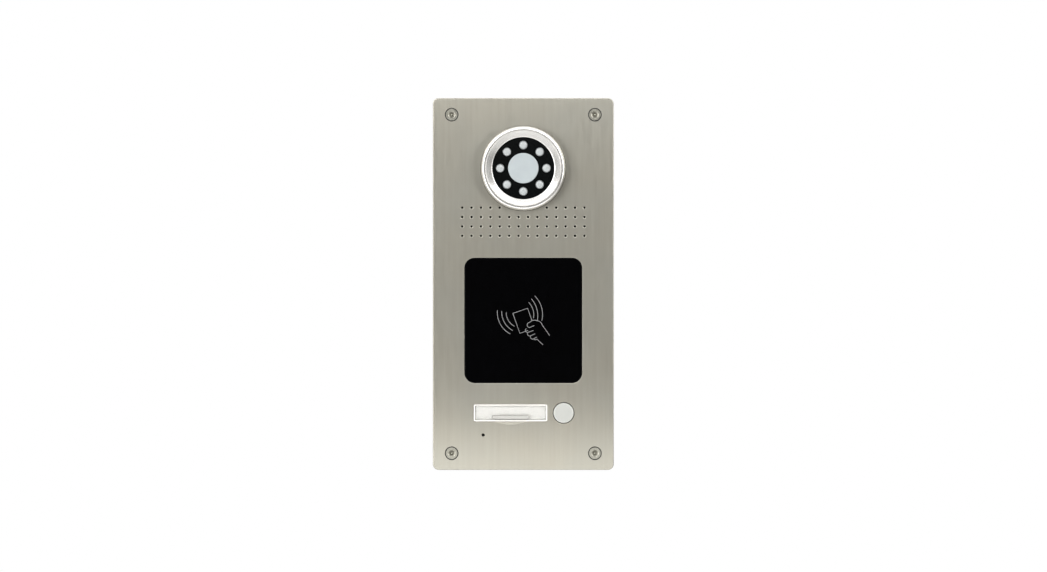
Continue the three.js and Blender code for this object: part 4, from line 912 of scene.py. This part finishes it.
def name_cover():
    """A clear flap with a round hinge edge, two hinge pins and a frosted finger groove whose grey paints the
    shade in the groove.
    """
    bm = bmesh.new()
    nose = cover.depth / 2
    left, right = cover.left + PIN_REACH + 0.2, cover.right - PIN_REACH - 0.2
    hinge_z, hinge_y = cover.top - nose, cover.y
    section = [(cover.front, cover.foot + 0.15), (cover.front + 0.15, cover.foot), (cover.back, cover.foot)]
    section += [(hinge_y + nose * math.cos(math.pi * step / 12),
                 hinge_z + nose * math.sin(math.pi * step / 12))
                for step in range(13)]
    face = bm.faces.new([bm.verts.new((left, y, z)) for y, z in section])
    grown = bmesh.ops.extrude_face_region(bm, geom=[face])["geom"]
    moved = [part for part in grown if isinstance(part, bmesh.types.BMVert)]
    bmesh.ops.translate(bm, vec=(right - left, 0, 0), verts=moved)
    groove_z = cover.foot + GROOVE.above_edge + GROOVE.height / 2
    radius = GROOVE.height / 2 - 0.05
    outline = box_outline(GROOVE.width, GROOVE.height, radius, cover.x, groove_z, 8)
    stations = [(0.06, cover.front), (0, cover.front + 0.08), (-0.08, cover.front + GROOVE.depth)]
    before = set(bm.faces)
    front, floor = wall(bm, outline, stations)
    cap(bm, floor)
    # The groove's faces take the frosted grey that paints the groove's shade.
    for face in set(bm.faces) - before:
        face.material_index = 1
    open_face(bm, biggest_face_at(bm, (0, -1, 0), -cover.front), front)
    for x, reach in ((left, -PIN_REACH), (right, PIN_REACH)):
        rod(bm, 0.4, (x - reach * 0.1, hinge_y, hinge_z), (x + reach, hinge_y, hinge_z), steps=16)
    flap = make("clear_name_cover", bm, "clear_plastic", "name_cover", body="name_cover")
    flap.data.materials.append(FROSTED_GROOVE_SHADE)


def name_card():
    card = place("name_card")
    bm = bmesh.new()
    slab(bm, box_outline(card.width, card.height, 0.4, card.x, card.z, 4),
         eased_both(card.front, card.back, 0.05, 1))
    make("paper_name_card", bm, "paper", "name_card")
    guide = place("name_light_guide")
    bm = bmesh.new()
    slab(bm, box_outline(guide.width, guide.height, 0.5, guide.x, guide.z, 4),
         eased_both(guide.front, guide.back, 0.25, 2))
    make("moulded_light_guide", bm, "white_plastic", "name_light_guide")


# ---------------------------------------------------------------- call button and microphone


def call_button():
    bm = bmesh.new()
    edge, flange_r, shoulder = 0.5, button.width / 2, PLATE_BACK + 0.05 + 1.5 + 0.1
    stem_r = 2.0
    profile = [(0, button.back), (stem_r - 0.2, button.back), (stem_r, button.back - 0.2),
               (stem_r, shoulder + 1.2)]
    profile += [(flange_r - 0.1, shoulder + 1.2), (flange_r, shoulder + 1.1), (flange_r, shoulder + 0.1)]
    profile += [(flange_r - 0.1, shoulder), (BUTTON_R, shoulder)]
    profile += quarter(BUTTON_R - edge, button.front + edge, edge, edge, 0, 90, 6)
    # The cap's face is dished by 0.08 mm.
    profile += [(BUTTON_R * share, button.front + 0.08 * (1 - share ** 2)) for share in (0.85, 0.6, 0.3, 0.0)]
    turned(bm, profile, button.x, button.z, 72)
    make("satin_call_button", bm, "button_metal", "call_button", body="call_button")


def button_collar():
    bm = bmesh.new()
    bore, well, outer = BUTTON_R + 0.3, button.width / 2 + 0.3, collar.width / 2
    shoulder = collar.front + 1.5
    profile = [(well, collar.back), (outer - 0.2, collar.back), (outer, collar.back - 0.2),
               (outer, collar.front + 0.2), (outer - 0.2, collar.front), (bore + 0.2, collar.front),
               (bore, collar.front + 0.2), (bore, shoulder), (well, shoulder)]
    turned(bm, profile, collar.x, collar.z, 64)
    make("button_guide_collar", bm, "black_plastic", "button_collar")


def button_spring():
    """A coil spring of round wire, with its end turns closed and ground flat."""
    coil = place("button_spring")
    wire_r = 0.35
    mean_r = coil.width / 2 - wire_r
    active, dead = 3.0, 1.0
    low, high = coil.front + wire_r, coil.back - wire_r
    curve = bpy.data.curves.new("button_spring", "CURVE")
    curve.dimensions = "3D"
    curve.bevel_depth = wire_r
    curve.bevel_resolution = 2
    curve.use_fill_caps = True
    steps = int(48 * (active + 2 * dead))
    line = curve.splines.new("POLY")
    line.points.add(steps)
    for step, spot in enumerate(line.points):
        turn = (active + 2 * dead) * step / steps
        if turn < dead:
            climb = turn / dead * 2 * wire_r
        elif turn < dead + active:
            climb = 2 * wire_r + (turn - dead) / active * (high - low - 4 * wire_r)
        else:
            climb = high - low - 2 * wire_r + (turn - dead - active) / dead * 2 * wire_r
        x, z = at_angle(mean_r, 360 * turn, coil.x, coil.z)
        spot.co = (x, low + climb, z, 1)
    drawn = bpy.data.objects.new("button_spring", curve)
    mesh = bpy.data.meshes.new_from_object(drawn)
    bpy.data.objects.remove(drawn)
    mesh.transform(Matrix.Scale(MM, 4))
    for polygon in mesh.polygons:
        polygon.use_smooth = True
    mesh.materials.clear()
    spring = fit("closed_end_spring", mesh, finishes["spring_steel"], "spring_steel", "button_spring",
                 body="call_button")
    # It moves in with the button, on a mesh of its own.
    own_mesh(spring)


def microphone():
    bm = bmesh.new()
    pocket = boot.front + 1
    bore = mic.width / 2 + 0.1
    profile = [(bore, boot.back), (boot.width / 2 - 0.3, boot.back), (boot.width / 2, boot.back - 0.3),
               (boot.width / 2, boot.front + 0.2), (boot.width / 2 - 0.2, boot.front),
               (MIC_HOLE_R + 0.2, boot.front),
               (MIC_HOLE_R, boot.front + 0.2), (MIC_HOLE_R, pocket), (bore, pocket)]
    turned(bm, profile, mic.x, mic.z, 48)
    make("rubber_mic_boot", bm, "rubber", "mic_boot")
    bm = bmesh.new()
    radius = mic.width / 2
    profile = [(0, mic.back - 0.3), (radius - 0.5, mic.back - 0.3), (radius - 0.4, mic.back),
               (radius, mic.back - 0.1),
               (radius, mic.front + 0.3), (radius - 0.3, mic.front), (1.0, mic.front), (0.9, mic.front + 0.5),
               (0, mic.front + 0.5)]
    turned(bm, profile, mic.x, mic.z, 48)
    for face in bm.faces:
        spot = face.calc_center_median()
        across = math.hypot(spot.x - mic.x, spot.z - mic.z)
        face.material_index = int(spot.y < mic.y and across < radius - 0.3)
    can = make("mic_capsule_can", bm, "turned_aluminium", "mic_capsule")
    can.data.materials.append(finishes["foam"])


# ---------------------------------------------------------------- wall box

SHEET = 1.2
KNOCKOUT = [(10, 0), (9.75, 0.3), (9.25, 0.3), (9.0, 0.02), (8.9, 0.0)]
WELD = [(2.4, 0), (2.0, 0.15), (1.2, 0.25)]
FIXING_R = 2.6
FIXING_FROM_END = 35
CABLE_HOLE_R = 10.0


def fixing_hole(bm, x, z):
    """A screw hole through the box's back, with a shallow pressed dimple round it."""
    dimple = ((6.5, 0), (5.6, 0.45), (FIXING_R, 0.5))
    outside, inside = ([ring_about(radius, (x, back, z), (0, 1, 0), depth, 32) for radius, depth in dimple]
                       for back in (wall_box.back, wall_box.back - SHEET))
    return skin(bm, outside + inside[::-1])


def flush_box():
    """A drawn sheet box: knock-outs in its walls, spot welds, dimpled fixing holes and a cable hole."""
    bm = bmesh.new()
    front, back = wall_box.front, wall_box.back
    outer = wall(bm, box_outline(wall_box.width, wall_box.height, 1.5, steps=5),
                 [(0, front), (0, back - 1.4), (-0.41, back - 0.41), (-1.4, back)])
    inner = wall(bm, box_outline(wall_box.width - 2 * SHEET, wall_box.height - 2 * SHEET, 0.3, steps=5),
                 [(0, front), (0, back - SHEET)])
    cap(bm, outer[0], inner[0])
    fixing_z = wall_box.top - FIXING_FROM_END
    fixings = [fixing_hole(bm, 0, end * fixing_z) for end in (-1, 1)]
    spots = [pressing(bm, (x, back, z), (0, 1, 0), WELD, 20) for x in (-34, 34) for z in (-96, 0, 96)]
    big = [pressing(bm, (0, back, z), (0, 1, 0), KNOCKOUT, 48) for z in (-40, 40)]
    cap(bm, outer[1], *(first for first, second in fixings), *spots, *big)
    cap(bm, inner[1], *(second for first, second in fixings))
    bmesh.ops.recalc_face_normals(bm, faces=bm.faces)
    entry = (0, grommet.y, wall_box.foot)
    for side in (-1, 1):
        reach = wall_box.right
        presses = [pressing(bm, (side * reach, 24, z), (side, 0, 0), KNOCKOUT, 48) for z in (-62, 0, 62)]
        presses += [pressing(bm, (side * reach, y, z), (side, 0, 0), WELD, 20)
                    for y in (9, 16) for z in (-117, 117)]
        open_face(bm, biggest_face_at(bm, (side, 0, 0), reach), *presses)
    top = [pressing(bm, (x, 28, wall_box.top), (0, 0, 1), KNOCKOUT, 48) for x in (-30, 0, 30)]
    open_face(bm, biggest_face_at(bm, (0, 0, 1), wall_box.top), *top)
    foot = [pressing(bm, (x, 28, wall_box.foot), (0, 0, -1), KNOCKOUT, 48) for x in (-34, 34)]
    hole = skin(bm, [ring_about(CABLE_HOLE_R, entry, (0, 0, -1), depth, 48) for depth in (0, SHEET)])
    open_face(bm, biggest_face_at(bm, (0, 0, -1), -wall_box.foot), *foot, hole[0])
    open_face(bm, biggest_face_at(bm, (0, 0, 1), wall_box.foot + SHEET), hole[1])
    make("galvanised_wall_box", bm, "galvanised", "flush_box", sharp=40)


def cable_grommet():
    """A rubber grommet with rounded flanges and a ribbed throat."""
    bm = bmesh.new()
    outer, throat, groove = grommet.width / 2, 5.0, CABLE_HOLE_R - 0.2
    low, high = -grommet.top, -grommet.foot
    outside, inside = -wall_box.foot + 0.1, -wall_box.foot - SHEET - 0.1
    profile = [(throat, high - 0.4), (throat + 0.4, high), (outer - 0.6, high), (outer - 0.15, high - 0.3),
               (outer, high - 0.8), (outer - 0.2, outside), (groove, outside), (groove, inside),
               (outer - 0.2, inside), (outer, low + 0.7), (outer - 0.15, low + 0.3), (outer - 0.6, low),
               (throat + 0.4, low), (throat, low + 0.4), (throat, low + 1.6), (throat + 0.35, low + 2.0),
               (throat, low + 2.4)]
    turned(bm, profile, 0, 0, 48)
    bmesh.ops.rotate(bm, cent=(0, 0, 0), matrix=Matrix.Rotation(-math.pi / 2, 3, "X"), verts=bm.verts)
    bmesh.ops.translate(bm, vec=(grommet.x, grommet.y, 0), verts=bm.verts)
    make("rubber_cable_grommet", bm, "rubber", "cable_grommet")


# ---------------------------------------------------------------- light and floor

FLOOR_Z = -420.0
DIM_ROOM = 0.0
PALE_ROOM = 0.5


def lamp_panel(title, centre, size, watts, aim=(0, 0, 0), tone="#ffffff"):
    """A soft rectangular light that the camera doesn't see; centre, size and aim are in millimetres."""
    data = bpy.data.lights.new(title, "AREA")
    data.shape = "RECTANGLE"
    data.size, data.size_y = (side * MM for side in size)
    data.energy = watts
    data.color = linear(tone)[:3]
    light = bpy.data.objects.new(title, data)
    light.location = Vector(centre) * MM
    light.rotation_euler = (Vector(aim) - Vector(centre)).to_track_quat("-Z", "Y").to_euler()
    light.visible_camera = False
    bpy.context.scene.collection.objects.link(light)


def studio():
    scene = bpy.context.scene
    scene.view_settings.view_transform = "Standard"
    world = bpy.data.worlds.new("white_studio")
    world.use_nodes = True
    tree = world.node_tree
    # The room behind the camera is dim, and the rest of it is a
    # pale grey; only what the camera sees is white.
    way = add(tree, "SeparateXYZ", {"Vector": add(tree, "TexCoord").outputs["Generated"]})
    room = add(tree, "MapRange", {
        "Value": way.outputs["Y"], "From Min": -0.97, "From Max": -0.6, "To Min": DIM_ROOM,
        "To Max": PALE_ROOM}, interpolation_type="SMOOTHSTEP")
    seen = add(tree, "LightPath").outputs["Is Camera Ray"]
    background = tree.nodes["Background"]
    feed(tree, background.inputs["Color"], (1, 1, 1, 1))
    feed(tree, background.inputs["Strength"], add(tree, "Math", {0: room, 1: seen}, operation="MAXIMUM"))
    scene.world = world
    lamp_panel("low_front_card", (-20, -260, -225), (520, 220), 0.6, (-20, 0, -225))
    lamp_panel("high_front_card", (0, -420, 330), (700, 240), 2.1, (0, 0, 330))
    lamp_panel("left_card", (-800, -620, 120), (700, 1100), 9.6)
    lamp_panel("right_card", (850, -620, 260), (400, 800), 5.8)
    lamp_panel("overhead_card", (0, 150, 1100), (1200, 1200), 6.6)
    lamp_panel("upper_left_card", (-620, -160, 640), (500, 500), 1.7, (0, 0, 60))
    lamp_panel("upper_right_card", (720, -80, 820), (600, 600), 2.2, (0, 0, 80))
    lamp_panel("back_card", (200, 1200, 600), (900, 900), 8.0)
    bm = bmesh.new()
    bmesh.ops.create_grid(bm, x_segments=1, y_segments=1, size=3000 * MM)
    bmesh.ops.translate(bm, vec=(0, 0, FLOOR_Z * MM), verts=bm.verts)
    mesh = bpy.data.meshes.new("studio_floor")
    bm.to_mesh(mesh)
    bm.free()
    paper = surface("matt_white_paper", "#d4d4d3", 0.9, Specular_IOR_Level=0.2)
    pulp = add(paper.tree, "TexNoise", {
        "Vector": paper.where, "Scale": per_mm(30), "Detail": 3, "Roughness": 0.6})
    blend = add(paper.tree, "Mix", {0: pulp, 6: linear("#d0d0cf"), 7: linear("#d8d8d7")}, data_type="RGBA")
    wire(paper, Base_Color=blend.outputs[2])
    mesh.materials.append(paper.material)
    floor = bpy.data.objects.new("studio_floor", mesh)
    scene.collection.objects.link(floor)


# ---------------------------------------------------------------- the whole panel

place_camera()
front_plate()
panel_gasket()
for number, screw in enumerate(screws, 1):
    panel_screw(number, screw)
camera_bezel()
contact_shadow_ring()
camera_mask()
camera_window()
for number, lamp in enumerate(lamps, 1):
    night_led(number, lamp)
card_window()
name_frame()
name_cover()
name_card()
call_button()
button_collar()
button_spring()
microphone()
flush_box()
cable_grommet()

# Pieces that keep the CAD's shape take the finish of their slot.
for subpart in frame["record"]["subparts"]:
    solid = frame["nodes"][subpart["node"]]
    if not solid.hide_render:
        solid.data.materials.clear()
        solid.data.materials.append(finishes[subpart["material_slot"]])

studio()
